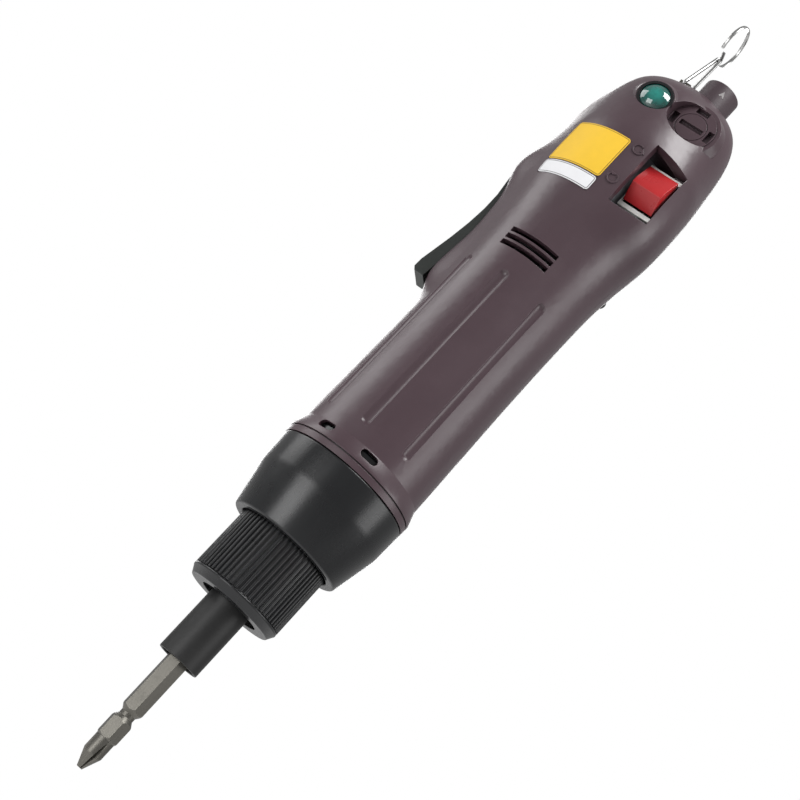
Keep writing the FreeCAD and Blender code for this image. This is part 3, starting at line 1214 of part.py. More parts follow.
def make_bail():
    anchor = block("anchor_blank", (-S.bail_side - ANCHOR_X, -ANCHOR_Y, ANCHOR_LOW),
                   (-S.bail_side + ANCHOR_X, ANCHOR_Y, S.bail_pivot + 1.8))
    hole = rod("anchor_hole", S.bail_wire + 2 * S.run_gap, (-S.bail_side, -ANCHOR_Y - 1, S.bail_pivot),
               2 * ANCHOR_Y + 2, "+Y")
    keep(cut("bail_anchor", anchor, [hole]))
    wire, half, neck, loop = (float(v) for v in (S.bail_wire, S.bail_half, S.bail_neck, S.bail_loop))
    foot, bend = 1.0, 1.3
    centre = neck + loop + 0.4
    lift = wire * 0.96

    def leg(way):
        """Foot, bend and rising leg of one side, in the plane of the bail."""
        start = Vector(0, way * foot, 0)
        corner = Vector(0, way * half, 0)
        top = Vector(way * lift, 0, neck)
        rise = (top - corner).normalize()
        a = corner - Vector(0, way * bend, 0)
        b = corner + rise * bend
        inside = corner + ((a - corner) + (b - corner)) * 0.29
        return [Part.LineSegment(start, a), Part.Arc(a, inside, b), Part.LineSegment(b, top)], top

    def swept(curves):
        path = Part.Wire([c.toShape() for c in curves])
        first = curves[0]
        way = (first.EndPoint - first.StartPoint).normalize()
        profile = Part.Wire(Part.makeCircle(wire, first.StartPoint, way))
        return path.makePipeShell([profile], True, False)

    left, left_top = leg(-1)
    right, right_top = leg(1)

    def on_loop(degrees, side):
        angle = math.radians(degrees)
        return Vector(side, loop * math.sin(angle), centre - loop * math.cos(angle))

    left.append(Part.Arc(left_top, on_loop(150, -lift), on_loop(322, -lift)))
    short = on_loop(-28, lift)
    right.append(Part.Arc(right_top, (right_top + short) * 0.5 + Vector(0, 0.35, 0), short))
    both = swept(left).fuse(swept(right))
    place = Placement(Vector(-float(S.bail_side), 0, float(S.bail_pivot)),
                      Rotation(Vector(0, 1, 0), float(S.bail_lean)))
    keep(shaped("hanging_bail", both, place))


def make_plug():
    r = float(S.plug_r)
    stem = r - 1.15
    corners = [(0, -3), (stem, -3), (stem, 0), (r, 0.02), (r * 0.92, 1.1), (r * 0.62, 2.0), (0, 2.5), (0, -3)]
    profile = Part.makePolygon([Vector(a, 0, b) for a, b in corners])
    form = Part.Face(profile).revolve(Vector(), Vector(0, 0, 1), 360)
    keep(shaped("shoulder_plug", form, PLUG_PLACE))


def build():
    make_bit()
    make_spindle()
    make_sleeve()
    make_knob()
    make_clutch()
    make_gear_case()
    make_gears()
    make_motor()
    make_fan()
    make_brushes()
    make_nose()
    make_lever()
    make_switch()
    make_lamp()
    make_labels()
    make_board()
    make_screws()
    make_socket()
    make_bail()
    make_plug()
    make_housing()


def write_pieces():
    """Check every object and write each finished piece to its own file."""
    doc.recompute()
    faults = [f"{item.Name}: {item.State}" for item in doc.Objects
              if any(word in ("Invalid", "Error") for word in item.State)]
    for item in NODES:
        if item.Shape.isNull() or not item.Shape.isValid() or not item.Shape.Solids:
            faults.append(f"{item.Name}: shape")
    if faults:
        raise SystemExit("failed objects: " + "; ".join(faults))
    os.makedirs("parts", exist_ok=True)
    for item in NODES:
        item.Shape.exportStep(f"parts/{item.Label}.step")
        box = item.Shape.BoundBox
        print(f"{item.Label:22s} solids {len(item.Shape.Solids)} volume {item.Shape.Volume:9.1f}"
              f"  z {box.ZMin:7.2f} {box.ZMax:7.2f}")
    print(len(NODES), "pieces")


build()
write_pieces()
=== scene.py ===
"""Electric screwdriver in its studio: the looks of each piece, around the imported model."""
import json
import math

import bmesh
import bpy
from mathutils import Matrix, Vector
from mathutils.bvhtree import BVHTree


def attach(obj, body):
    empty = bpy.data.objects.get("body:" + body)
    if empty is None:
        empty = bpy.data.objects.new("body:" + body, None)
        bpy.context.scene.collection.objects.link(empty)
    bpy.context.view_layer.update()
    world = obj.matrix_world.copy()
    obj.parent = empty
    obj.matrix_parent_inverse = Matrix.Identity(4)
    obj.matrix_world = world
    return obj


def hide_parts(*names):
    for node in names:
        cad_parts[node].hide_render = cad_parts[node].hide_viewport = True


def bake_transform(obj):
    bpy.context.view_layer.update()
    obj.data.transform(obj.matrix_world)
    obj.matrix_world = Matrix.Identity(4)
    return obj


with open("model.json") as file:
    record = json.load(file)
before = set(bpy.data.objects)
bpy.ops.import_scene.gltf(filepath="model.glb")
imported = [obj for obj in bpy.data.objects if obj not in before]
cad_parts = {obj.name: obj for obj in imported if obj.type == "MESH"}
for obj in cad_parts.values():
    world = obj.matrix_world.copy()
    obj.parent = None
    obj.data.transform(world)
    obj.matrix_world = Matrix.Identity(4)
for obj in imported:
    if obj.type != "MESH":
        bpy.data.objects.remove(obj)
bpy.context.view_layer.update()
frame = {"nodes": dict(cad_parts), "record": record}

MM = 0.001
WHITE, BLACK = (1, 1, 1, 1), (0, 0, 0, 1)
NODES = frame["nodes"]
BODY_OF = {node: body for body, members in frame["record"]["behaviour"]["bodies"].items() for node in members}
SLOT_OF = {row["node"]: row["material_slot"] for row in frame["record"]["subparts"]}

# Camera, as fitted to the photograph
CAMERA_PLACE = Vector((0.157, -0.4313, 0.0036))
CAMERA_AIM = Vector((-0.00413, -0.0015, 0.1413))
CAMERA_LENS = 71.1
AXIS_TILT = math.radians(47)

# Light: the share of the background that shows in polished pieces, and the share that lights the tool
MIRRORED_SHARE = 0.25
LIGHTING_SHARE = 0.3
STUDIO_MIDDLE = Vector((0, 0, 0.16))
FLOOR_HEIGHT = -0.17

# Labels, in millimetres and degrees round the axis
NUMBER_LABEL = (223.4, 228.7)
COLOUR_LABEL = (229.2, 246.0)
LABEL_MIDDLE, LABEL_HALF_WIDTH, LABEL_RADIUS, LABEL_CORNER = -20, 25, 24.0, 1.1
LENS_SIDE, LENS_HEIGHT = -4.0, 266.5

# Brush caps: height, and X and Y of each cap's face, in millimetres
BRUSH_HEIGHT = 267.0
BRUSH_FACES = ((10.0, -15.3), (-10.0, 15.3))
NOTCH_REACH = 6.65


def srgb(red, green, blue):
    """A display colour from 0 to 255 as a linear one."""
    channels = [c / 255 for c in (red, green, blue)]
    return tuple(c / 12.92 if c <= 0.04045 else ((c + 0.055) / 1.055) ** 2.4 for c in channels) + (1.0,)


# Node-based finishes

class Flow:
    """A shader socket that takes part in Python arithmetic."""

    def __init__(self, finish, socket):
        self.finish = finish
        self.socket = socket

    def sum_up(self, operation, *values):
        """One Math node."""
        return self.finish.add("ShaderNodeMath", {"operation": operation}, *values)

    def __add__(self, other):
        return self.sum_up("ADD", self, other)

    def __sub__(self, other):
        return self.sum_up("SUBTRACT", self, other)

    def __rsub__(self, other):
        return self.sum_up("SUBTRACT", other, self)

    def __mul__(self, other):
        return self.sum_up("MULTIPLY", self, other)

    def __abs__(self):
        return self.sum_up("ABSOLUTE", self)

    __radd__ = __add__
    __rmul__ = __mul__

    def most(self, other):
        return self.sum_up("MAXIMUM", self, other)

    def root(self):
        return self.sum_up("SQRT", self)

    def fade(self, low, high):
        """0 at low and 1 at high, smooth between them."""
        kind = {"interpolation_type": "SMOOTHSTEP"}
        return self.finish.add("ShaderNodeMapRange", kind, Value=self, **{"From Min": low, "From Max": high})


class Finish:
    """One material while its nodes are laid out."""

    def __init__(self, name, colour, roughness, metallic=0.0):
        self.material = bpy.data.materials.new(name)
        self.material.use_nodes = True
        self.tree = self.material.node_tree
        self.shader = self.tree.nodes["Principled BSDF"]
        self.give("Base Color", colour)
        self.give("Roughness", roughness)
        self.give("Metallic", metallic)
        self.coords = self.add("ShaderNodeTexCoord", {}, out="Object")

    def connect(self, socket, value):
        """Link a flow into a socket, or set the socket to a plain value."""
        if isinstance(value, Flow):
            self.tree.links.new(value.socket, socket)
        else:
            socket.default_value = value

    def give(self, name, value):
        """Set or link one input of the surface shader."""
        self.connect(self.shader.inputs[name], value)

    def add(self, kind, settings, *values, out=0, **named):
        """One node: its settings first, then its inputs by place or by name."""
        node = self.tree.nodes.new(kind)
        for key, value in settings.items():
            setattr(node, key, value)
        for socket, value in zip(node.inputs, values):
            self.connect(socket, value)
        for key, value in named.items():
            self.connect(node.inputs[key], value)
        return Flow(self, node.outputs[out])

    def axes(self):
        """The three object coordinates, in metres."""
        return [self.add("ShaderNodeSeparateXYZ", {}, self.coords, out=k) for k in range(3)]

    def noise(self, size, detail=3.0, stretch=(1, 1, 1)):
        """Noise whose grain is about one size across, in metres."""
        scale = tuple(1 / (size * share) for share in stretch)
        place = self.add("ShaderNodeMapping", {}, Vector=self.coords, Scale=scale)
        return self.add("ShaderNodeTexNoise", {}, Vector=place, Scale=1.0, Detail=detail, Roughness=0.6)

    def blend(self, factor, first, second):
        """One colour turning into another."""
        mixed = self.add("ShaderNodeMix", {"data_type": "RGBA"}, out=2)
        node = mixed.socket.node
        for index, value in ((0, factor), (6, first), (7, second)):
            self.connect(node.inputs[index], value)
        return mixed

    def relief(self, height, depth, strength=1.0, rounded=0.0):
        """Bump from a height of 0 to 1, over edges that look rounded by a radius."""
        bump = self.add("ShaderNodeBump", {}, Strength=strength, Distance=depth, Height=height)
        if rounded:
            soft = self.add("ShaderNodeBevel", {"samples": 4}, Radius=rounded)
            self.connect(bump.socket.node.inputs["Normal"], soft)
        self.give("Normal", bump)

    def crevices(self, reach):
        """0 in narrow gaps and corners, 1 on open faces; the mask for painted shade."""
        open_sky = self.add("ShaderNodeAmbientOcclusion", {"samples": 6}, Distance=reach, out="AO")
        return open_sky.fade(0.25, 0.85)

    def edges(self, reach):
        """1 along edges within a reach, 0 on open faces."""
        eased = self.add("ShaderNodeBevel", {"samples": 4}, Radius=reach)
        flat = self.add("ShaderNodeNewGeometry", {}, out="Normal")
        same = self.add("ShaderNodeVectorMath", {"operation": "DOT_PRODUCT"}, eased, flat, out="Value")
        return 1 - same.fade(0.72, 0.99)


def tint(colour, share):
    """A colour made darker or lighter by a share."""
    return tuple(min(1.0, c * share) for c in colour[:3]) + (1.0,)


def moulded(name, colour, roughness, grain=0.5, seam=False, edge=0.22, gloss_level=0.4):
    """Injection-moulded plastic: fine spark texture, faint flow marks, patchy gloss, painted shade in crevices and a
    painted highlight along its edges.
    """
    finish = Finish(name, colour, roughness)
    texture = finish.noise(0.45 * MM, 2.0)
    clouds = finish.noise(22 * MM, 4.0)
    streaks = finish.noise(3.0 * MM, 3.0, (1, 1, 8))
    body = finish.blend(clouds, tint(colour, 0.86), tint(colour, 1.14))
    # Painted shade: the colour is darkened in narrow gaps, corners and grooves.
    body = finish.blend(finish.crevices(1.6 * MM), tint(colour, 0.3), body)
    # Painted highlight: the colour is lightened along edges, in patches.
    painted_edge_highlight = finish.edges(0.4 * MM) * clouds.fade(0.3, 0.65)
    body = finish.blend(painted_edge_highlight * 0.4, body, tint(colour, 2.4))
    gloss = roughness + (clouds - 0.5) * 0.14 + (streaks - 0.5) * 0.08
    height = texture * grain
    if seam:
        y = finish.axes()[1]
        line = 1 - abs(y).fade(0.05 * MM, 0.16 * MM)
        body = finish.blend(line * 0.75, body, tint(colour, 0.25))
        height = height - line * 3.0
    finish.give("Base Color", body)
    finish.give("Roughness", gloss)
    finish.give("Specular IOR Level", gloss_level)
    finish.relief(height, 0.035 * MM, 0.8, edge * MM)
    return finish.material


def steel(name, colour, roughness, way=(1, 1, 14), size=0.35):
    """Metal with fine tool marks along its length, a few dull spots and a painted highlight along its edges."""
    finish = Finish(name, colour, roughness, 1.0)
    marks = finish.noise(size * MM, 2.0, way)
    spots = finish.noise(5 * MM, 4.0)
    dull = spots.fade(0.55, 0.8)
    # Painted highlight: the colour is lightened along edges, and the gloss rises there.
    painted_edge_highlight = finish.edges(0.25 * MM)
    body = finish.blend(dull * 0.5, finish.blend(marks, tint(colour, 0.93), tint(colour, 1.06)), tint(colour, 0.85))
    finish.give("Base Color", finish.blend(painted_edge_highlight * 0.6, body, tint(colour, 1.7)))
    finish.give("Roughness", roughness + (marks - 0.5) * 0.12 + dull * 0.08 - painted_edge_highlight * 0.08)
    finish.relief(marks, 0.006 * MM, 0.5)
    return finish.material


def enamelled_wire(name, colour):
    """Wound wire, its turns as fine rings."""
    finish = Finish(name, colour, 0.35, 0.8)
    turns = finish.add("ShaderNodeTexWave", {"bands_direction": "Z"}, Vector=finish.coords, Scale=450.0, Distortion=0.4)
    # Painted shade: the colour darkens between the turns.
    finish.give("Base Color", finish.blend(turns, tint(colour, 0.6), colour))
    finish.relief(turns, 0.2 * MM)
    return finish.material


def rubber(name, colour):
    """Dull rubber with a dusty bloom."""
    finish = Finish(name, colour, 0.75)
    bloom = finish.noise(6 * MM, 5.0)
    finish.give("Base Color", finish.blend(bloom.fade(0.4, 0.75), colour, tint(colour, 1.8)))
    finish.give("Roughness", 0.68 + bloom * 0.15)
    finish.relief(finish.noise(0.6 * MM), 0.04 * MM, 0.6)
    return finish.material


def printed_film(name, colour, ends, ink):
    """A label's film between two heights: a thin printed frame, cut corners and a soft gloss."""
    low, high = (end * MM for end in ends)
    finish = Finish(name, colour, 0.42)
    x, y, z = finish.axes()
    angle = finish.add("ShaderNodeMath", {"operation": "ARCTAN2"}, x, 0.0 - y)
    half_width, half_height = math.radians(LABEL_HALF_WIDTH) * LABEL_RADIUS * MM, (high - low) / 2
    corner = LABEL_CORNER * MM
    across = abs(angle - math.radians(LABEL_MIDDLE)) * (LABEL_RADIUS * MM)
    along = abs(z - (low + high) / 2)
    past_side = (across - (half_width - corner)).most(0.0)
    past_end = (along - (half_height - corner)).most(0.0)
    outside = (past_side * past_side + past_end * past_end).root() - corner
    edge = (across - half_width).most(along - half_height)
    frame_line = 1 - abs(outside.most(edge) + 0.42 * MM).fade(0.08 * MM, 0.16 * MM)
    cut = outside.fade(-0.02 * MM, 0.04 * MM)
    fibres = finish.noise(2.5 * MM, 4.0)
    paper = finish.blend(fibres, tint(colour, 0.93), tint(colour, 1.04))
    inked = finish.blend(frame_line * 0.85, paper, ink)
    finish.give("Base Color", finish.blend(cut, inked, HOUSING_COLOUR))
    finish.give("Roughness", 0.5 + fibres * 0.16)
    finish.give("Specular IOR Level", 0.25)
    finish.relief(finish.noise(0.8 * MM), 0.02 * MM, 0.5)
    return finish.material


def tinted_lens(name, colour):
    """Clear tinted plastic with a facetted inside, with a painted glow round its middle and painted shade towards its
    rim.
    """
    finish = Finish(name, colour, 0.07)
    x, _, z = finish.axes()
    across, along = x - LENS_SIDE * MM, z - LENS_HEIGHT * MM
    from_middle = (across * across + along * along).root()
    cells = finish.add("ShaderNodeTexVoronoi", {"feature": "F1"}, Vector=finish.coords, Scale=900.0)
    # Painted light: the colour is lighter round the lens's middle, darker towards its rim, and varies across the
    # facets.
    glow = 1 - from_middle.fade(0.8 * MM, 4.6 * MM)
    finish.give("Base Color", finish.blend(glow * 0.75 + cells * 0.25, tint(colour, 0.35), tint(colour, 2.2)))
    finish.give("Roughness", 0.05 + from_middle.fade(4.0 * MM, 5.0 * MM) * 0.25)
    finish.give("Transmission Weight", 0.25)
    finish.give("Coat Weight", 0.6)
    finish.relief(cells, 0.05 * MM, 0.25)
    return finish.material


def laminate(name, colour):
    """Circuit board with copper tracks under its lacquer."""
    finish = Finish(name, colour, 0.35)
    tracks = finish.add("ShaderNodeTexBrick", {}, Vector=finish.coords, Scale=220.0, out="Fac")
    finish.give("Base Color", finish.blend(tracks, tint(colour, 1.9), colour))
    return finish.material


HOUSING_COLOUR = srgb(62, 46, 52)
FINISHES = {
    "housing_plastic": moulded("housing_plastic", HOUSING_COLOUR, 0.36, seam=True, gloss_level=0.5),
    "black_plastic": moulded("black_plastic", srgb(15, 16, 18), 0.28, 0.6, edge=0.08),
    "dark_steel": steel("blackened_steel", srgb(58, 58, 58), 0.5, (6, 6, 1)),
    "bright_steel": steel("ground_steel", srgb(96, 94, 89), 0.42),
    "spring_steel": steel("spring_wire", srgb(150, 150, 152), 0.35),
    "gear_steel": steel("gear_steel", srgb(140, 140, 138), 0.4),
    # The die-cast case is painted darker than bare metal, as painted shade for the inside of the housing seen through
    # its slots.
    "die_cast": steel("die_cast_case", srgb(110, 110, 110), 0.5, (1, 1, 1), 0.9),
    "bronze": steel("sintered_bronze", srgb(180, 140, 90), 0.45, (1, 1, 1), 0.6),
    "motor_steel": steel("plated_motor_steel", srgb(160, 160, 165), 0.4),
    "magnet": rubber("sintered_magnet", srgb(48, 48, 52)),
    "copper": enamelled_wire("enamelled_copper", srgb(190, 110, 60)),
    "carbon": rubber("brush_carbon", srgb(40, 40, 42)),
    "fan_plastic": moulded("fan_plastic", srgb(30, 30, 32), 0.5),
    "white_plastic": moulded("bezel_plastic", srgb(242, 242, 238), 0.35, 0.3),
    "red_plastic": moulded("rocker_plastic", srgb(164, 34, 37), 0.3, 0.3),
    "green_lens": tinted_lens("tinted_lens", srgb(10, 92, 84)),
    "white_label": printed_film("number_label_film", srgb(216, 216, 218), NUMBER_LABEL, srgb(60, 60, 60)),
    "yellow_label": printed_film("colour_label_film", srgb(220, 178, 50), COLOUR_LABEL, srgb(96, 70, 30)),
    "board": laminate("board_laminate", srgb(40, 96, 60)),
}
RUBBER = rubber("plug_rubber", srgb(30, 30, 31))
BRIGHT_WIRE = steel("bright_wire", srgb(160, 160, 159), 0.28, (1, 1, 10), 0.2)
LEVER_PLASTIC = moulded("lever_plastic", srgb(32, 35, 33), 0.42)
SOCKET_PLASTIC = moulded("socket_plastic", srgb(58, 46, 51), 0.45)
OWN_FINISH = {"start_lever": LEVER_PLASTIC, "shoulder_plug": RUBBER, "hanging_bail": BRIGHT_WIRE,
              "cord_socket": SOCKET_PLASTIC}

for node_name, node_object in NODES.items():
    node_object.data.materials.clear()
    node_object.data.materials.append(FINISHES[SLOT_OF[node_name]])


# Pieces

def keep_piece(piece, node, finish=None, replace=True):
    """Ride a finished piece on a node's body and give it that node's slot."""
    slot = SLOT_OF[node]
    if not piece.data.materials:
        piece.data.materials.append(finish or OWN_FINISH.get(node, FINISHES[slot]))
    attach(piece, BODY_OF[node])
    if replace:
        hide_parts(node)
    return piece


def mesh_piece(name, build):
    """A new object from a bmesh that build() has filled."""
    work = bmesh.new()
    build(work)
    mesh = bpy.data.meshes.new(name)
    work.to_mesh(mesh)
    work.free()
    piece = bpy.data.objects.new(name, mesh)
    bpy.context.scene.collection.objects.link(piece)
    return piece


def shade(mesh, degrees):
    """Smooth faces with sharp edges where they meet at more than an angle."""
    work = bmesh.new()
    work.from_mesh(mesh)
    for face in work.faces:
        face.smooth = True
    for edge in work.edges:
        edge.smooth = len(edge.link_faces) == 2 and edge.calc_face_angle(0.0) < math.radians(degrees)
    work.to_mesh(mesh)
    work.free()


def cap_recesses(node):
    """Centre and half sizes of the caps' driver slots or of the collars' notches, in millimetres."""
    for x, y in BRUSH_FACES:
        if node == "brush_caps":
            yield (x, y, BRUSH_HEIGHT), (4.2, 1.4, 0.95)
        else:
            for right, up in ((1, 0), (-1, 0), (0, 1), (0, -1)):
                place = (x + NOTCH_REACH * right, y, BRUSH_HEIGHT + NOTCH_REACH * up)
                yield place, (1.05, 1.9, 2.3) if right else (2.3, 1.9, 1.05)


def carve(piece, boxes):
    """Cut boxes out of a piece's mesh."""

    def fill(work):
        for centre, half in boxes:
            place = Matrix.LocRotScale(Vector(centre) * MM, None, Vector(half) * MM)
            bmesh.ops.create_cube(work, size=2.0, matrix=place)

    cutter = mesh_piece("recess_cutter", fill)
    knife = piece.modifiers.new("recesses", "BOOLEAN")
    knife.object, knife.operation, knife.solver = cutter, "DIFFERENCE", "EXACT"
    bpy.context.view_layer.update()
    carved = bpy.data.meshes.new_from_object(piece.evaluated_get(bpy.context.evaluated_depsgraph_get()))
    piece.modifiers.remove(knife)
    piece.data = carved
    bpy.data.objects.remove(cutter)


def smooth_copy(node, name, degrees):
    """The CAD piece as one joined skin with smooth curves and crisp edges, in the node's place."""

    def fill(work):
        work.from_mesh(NODES[node].data)
        bmesh.ops.remove_doubles(work, verts=work.verts, dist=0.002 * MM)
        bmesh.ops.dissolve_degenerate(work, edges=work.edges, dist=0.001 * MM)
        if node in ROUNDED:
            bmesh.ops.dissolve_limit(work, angle_limit=math.radians(0.5), verts=work.verts, edges=work.edges)

    piece = mesh_piece(name, fill)
    if node in ("brush_caps", "cap_collars"):
        carve(piece, cap_recesses(node))
    shade(piece.data, degrees)
    if node in ROUNDED:
        soften(piece, ROUNDED[node])
        return keep_piece(piece, node)
    even = piece.modifiers.new("even_normals", "WEIGHTED_NORMAL")
    even.keep_sharp = True
    even.weight = 80
    return keep_piece(piece, node)


def lathe(name, profile, segments=128):
    """A closed turned form about the tool's axis, from (radius, height) corners in millimetres."""

    def fill(work):
        rings = []
        for k in range(segments):
            angle = 2 * math.pi * k / segments
            rings.append([work.verts.new((r * math.cos(angle) * MM, r * math.sin(angle) * MM, z * MM))
                          for r, z in profile])
        for k in range(segments):
            here, there = rings[k], rings[(k + 1) % segments]
            for j in range(len(profile)):
                j_next = (j + 1) % len(profile)
                work.faces.new((here[j], there[j], there[j_next], here[j_next]))
        bmesh.ops.recalc_face_normals(work, faces=work.faces)

    piece = mesh_piece(name, fill)
    shade(piece.data, 30)
    return piece


def soften(piece, width, segments=3, limit=30):
    """Round a piece's edges."""
    bevel = piece.modifiers.new("soft_edges", "BEVEL")
    bevel.width = width * MM
    bevel.segments = segments
    bevel.limit_method = "ANGLE"
    bevel.angle_limit = math.radians(limit)
    bevel.use_clamp_overlap = True
    bevel.harden_normals = True
    return piece


def make_nose_cap():
    profile = [(16.25, 84.0), (19.2, 84.0), (22.45, 98.7), (22.6, 100.6), (22.98, 109.9), (20.7, 110.0),
               (20.7, 117.0), (18.55, 117.0), (18.55, 110.0), (16.25, 110.0)]
    keep_piece(soften(lathe("nose_cap_shell", profile), 0.7, 4, 10), "nose_cap")


def make_bit_sleeve():
    profile = [(6.0, 39.3), (6.95, 39.3), (6.95, 61.5), (6.05, 61.5), (6.05, 50.6),
               (5.1, 50.6), (5.1, 44.4), (6.0, 44.4)]
    keep_piece(soften(lathe("bit_sleeve_barrel", profile, 96), 0.35), "bit_sleeve")


def grip_rib_tree():
    """Geometry nodes that set one rib round the nut's wall as often as asked."""
    tree = bpy.data.node_groups.new("torque_nut_ribs", "GeometryNodeTree")
    face = tree.interface
    face.new_socket("Ribs", in_out="INPUT", socket_type="NodeSocketInt").default_value = 60
    for socket, value in (("Wall Radius", 15.2), ("Rib Radius", 0.62), ("Rib Front", 63.9), ("Rib Length", 35.6)):
        face.new_socket(socket, in_out="INPUT", socket_type="NodeSocketFloat").default_value = value * MM
    face.new_socket("Finish", in_out="INPUT", socket_type="NodeSocketMaterial")
    face.new_socket("Geometry", in_out="OUTPUT", socket_type="NodeSocketGeometry")

    def node(kind, **settings):
        made = tree.nodes.new(kind)
        for key, value in settings.items():
            setattr(made, key, value)
        return made

    link = tree.links.new
    sizes, out = node("NodeGroupInput").outputs, node("NodeGroupOutput")
    circle = node("GeometryNodeMeshCircle")
    link(sizes["Ribs"], circle.inputs["Vertices"])
    link(sizes["Wall Radius"], circle.inputs["Radius"])
    rib = node("GeometryNodeMeshCylinder", fill_type="TRIANGLE_FAN")
    rib.inputs["Vertices"].default_value = 14
    link(sizes["Rib Radius"], rib.inputs["Radius"])
    link(sizes["Rib Length"], rib.inputs["Depth"])
    half = node("ShaderNodeMath", operation="MULTIPLY_ADD")
    link(sizes["Rib Length"], half.inputs[0])
    half.inputs[1].default_value = 0.5
    link(sizes["Rib Front"], half.inputs[2])
    lift = node("ShaderNodeCombineXYZ")
    link(half.outputs[0], lift.inputs["Z"])
    raised = node("GeometryNodeTransform")
    link(rib.outputs["Mesh"], raised.inputs["Geometry"])
    link(lift.outputs[0], raised.inputs["Translation"])
    spread = node("GeometryNodeInstanceOnPoints")
    link(circle.outputs["Mesh"], spread.inputs["Points"])
    link(raised.outputs["Geometry"], spread.inputs["Instance"])
    real = node("GeometryNodeRealizeInstances")
    link(spread.outputs["Instances"], real.inputs["Geometry"])
    dress = node("GeometryNodeSetMaterial")
    link(real.outputs["Geometry"], dress.inputs["Geometry"])
    link(sizes["Finish"], dress.inputs["Material"])
    link(dress.outputs["Geometry"], out.inputs["Geometry"])
    return tree


def make_torque_nut():
    profile = [(10.05, 60.6), (14.4, 60.6), (15.6, 62.7), (15.86, 63.0), (15.86, 63.6), (15.3, 63.9),
               (15.3, 99.6), (15.0, 100.0), (13.6, 100.0), (13.6, 80.0), (10.05, 80.0)]
    core = soften(lathe("torque_nut_core", profile), 0.25, 3, 20)
    holder = bpy.data.objects.new("grip_rib_holder", bpy.data.meshes.new("grip_rib_holder"))
    bpy.context.scene.collection.objects.link(holder)
    modifier = holder.modifiers.new("ribs", "NODES")
    modifier.node_group = grip_rib_tree()
    for socket in modifier.node_group.interface.items_tree:
        if socket.in_out == "INPUT" and socket.name == "Finish":
            modifier[socket.identifier] = FINISHES["black_plastic"]
    bpy.context.view_layer.update()
    evaluated = holder.evaluated_get(bpy.context.evaluated_depsgraph_get())
    mesh = bpy.data.meshes.new_from_object(evaluated)
    bpy.data.objects.remove(holder)
    shade(mesh, 40)
    ribs = bpy.data.objects.new("torque_nut_ribs", mesh)
    bpy.context.scene.collection.objects.link(ribs)
    keep_piece(core, "torque_nut")
    keep_piece(ribs, "torque_nut", replace=False)


# Pieces with rounded edges, by radius in millimetres, and pieces with smooth skins, by the angle of their crisp edges
ROUNDED = {"start_lever": 1.1, "reverse_rocker": 0.35, "switch_bezel": 0.12}
SKINNED = {
    "front_shell": 30, "rear_shell": 30, "bit": 28, "spindle": 30, "start_lever": 35, "lamp_holder": 33,
    "lamp_lens": 50, "number_label": 30, "colour_label": 30, "reverse_rocker": 30, "switch_bezel": 30,
    "switch_body": 30, "brush_caps": 33, "cap_collars": 33, "cord_socket": 40, "socket_insert": 33,
    "bail_anchor": 33, "hanging_bail": 60, "shoulder_plug": 40, "housing_screws": 33, "snap_ring": 33,
}


def make_skins():
    """The CAD pieces that keep their shape and get smooth skins."""
    for node, degrees in SKINNED.items():
        smooth_copy(node, f"{node}_skin", degrees)


# Each spring's moving body, and its moving and fixed ends in millimetres
COILS = {
    "torque_spring": ("spring_seat", (0, 0, 81.7), (0, 0, 107.9)),
    "sleeve_spring": ("bit_sleeve", (0, 0, 50.7), (0, 0, 59.9)),
    "lever_spring": ("start_lever", (-24.2, 0, 192), (-19.8, 0, 192)),
}


def make_coils():
    """Smooth copies of the springs in place of the CAD ones, fixed where they stand."""
    for node, (moving, near, far) in COILS.items():

        def fill(work):
            work.from_mesh(NODES[node].data)
            bmesh.ops.remove_doubles(work, verts=work.verts, dist=0.002 * MM)
        coil = mesh_piece(f"{node}_coil", fill)
        shade(coil.data, 60)
        coil.data.materials.append(FINISHES[SLOT_OF[node]])
        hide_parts(node)
        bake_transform(coil)


def shell_surface():
    """The front shell's faces, for raised marks that lie on it."""
    work = bmesh.new()
    work.from_mesh(NODES["front_shell"].data)
    tree = BVHTree.FromBMesh(work)
    work.free()
    return tree


def make_rotation_mark(name, surface, x, z, way):
    """A raised turning arrow beside the reversing switch; it lies on the shell."""
    radius, width, rise, sunk = 1.7 * MM, 0.24 * MM, 0.3 * MM, 0.3 * MM
    steps = 30
    sweep = math.radians(285) * way

    def spot(px, pz, lift):
        hit = surface.ray_cast(Vector((px, -0.06, pz)), Vector((0, 1, 0)))
        return Vector((px, hit[0].y - lift, pz))

    def on_arc(k, r):
        angle = math.radians(60) + sweep * k / steps
        return x * MM + r * math.cos(angle), z * MM + r * math.sin(angle)

    def fill(work):
        rows = []
        for k in range(steps + 1):
            inner, outer = on_arc(k, radius - width), on_arc(k, radius + width)
            rows.append([work.verts.new(spot(*point, lift)) for point, lift in
                         ((inner, -sunk), (inner, rise), (outer, rise), (outer, -sunk))])
        for here, there in zip(rows, rows[1:]):
            for j in range(4):
                work.faces.new((here[j], here[(j + 1) % 4], there[(j + 1) % 4], there[j]))
        work.faces.new(rows[0])
        work.faces.new(rows[-1])
        corners = [on_arc(steps, radius - 0.75 * MM), on_arc(steps, radius + 0.75 * MM), on_arc(steps + 7, radius)]
        top = [work.verts.new(spot(*corner, rise + 0.01 * MM)) for corner in corners]
        base = [work.verts.new(spot(*corner, -sunk)) for corner in corners]
        work.faces.new(top)
        work.faces.new(base[::-1])
        for j in range(3):
            work.faces.new((top[j], base[j], base[(j + 1) % 3], top[(j + 1) % 3]))
        bmesh.ops.recalc_face_normals(work, faces=work.faces)

    keep_piece(mesh_piece(name, fill), "front_shell", replace=False)


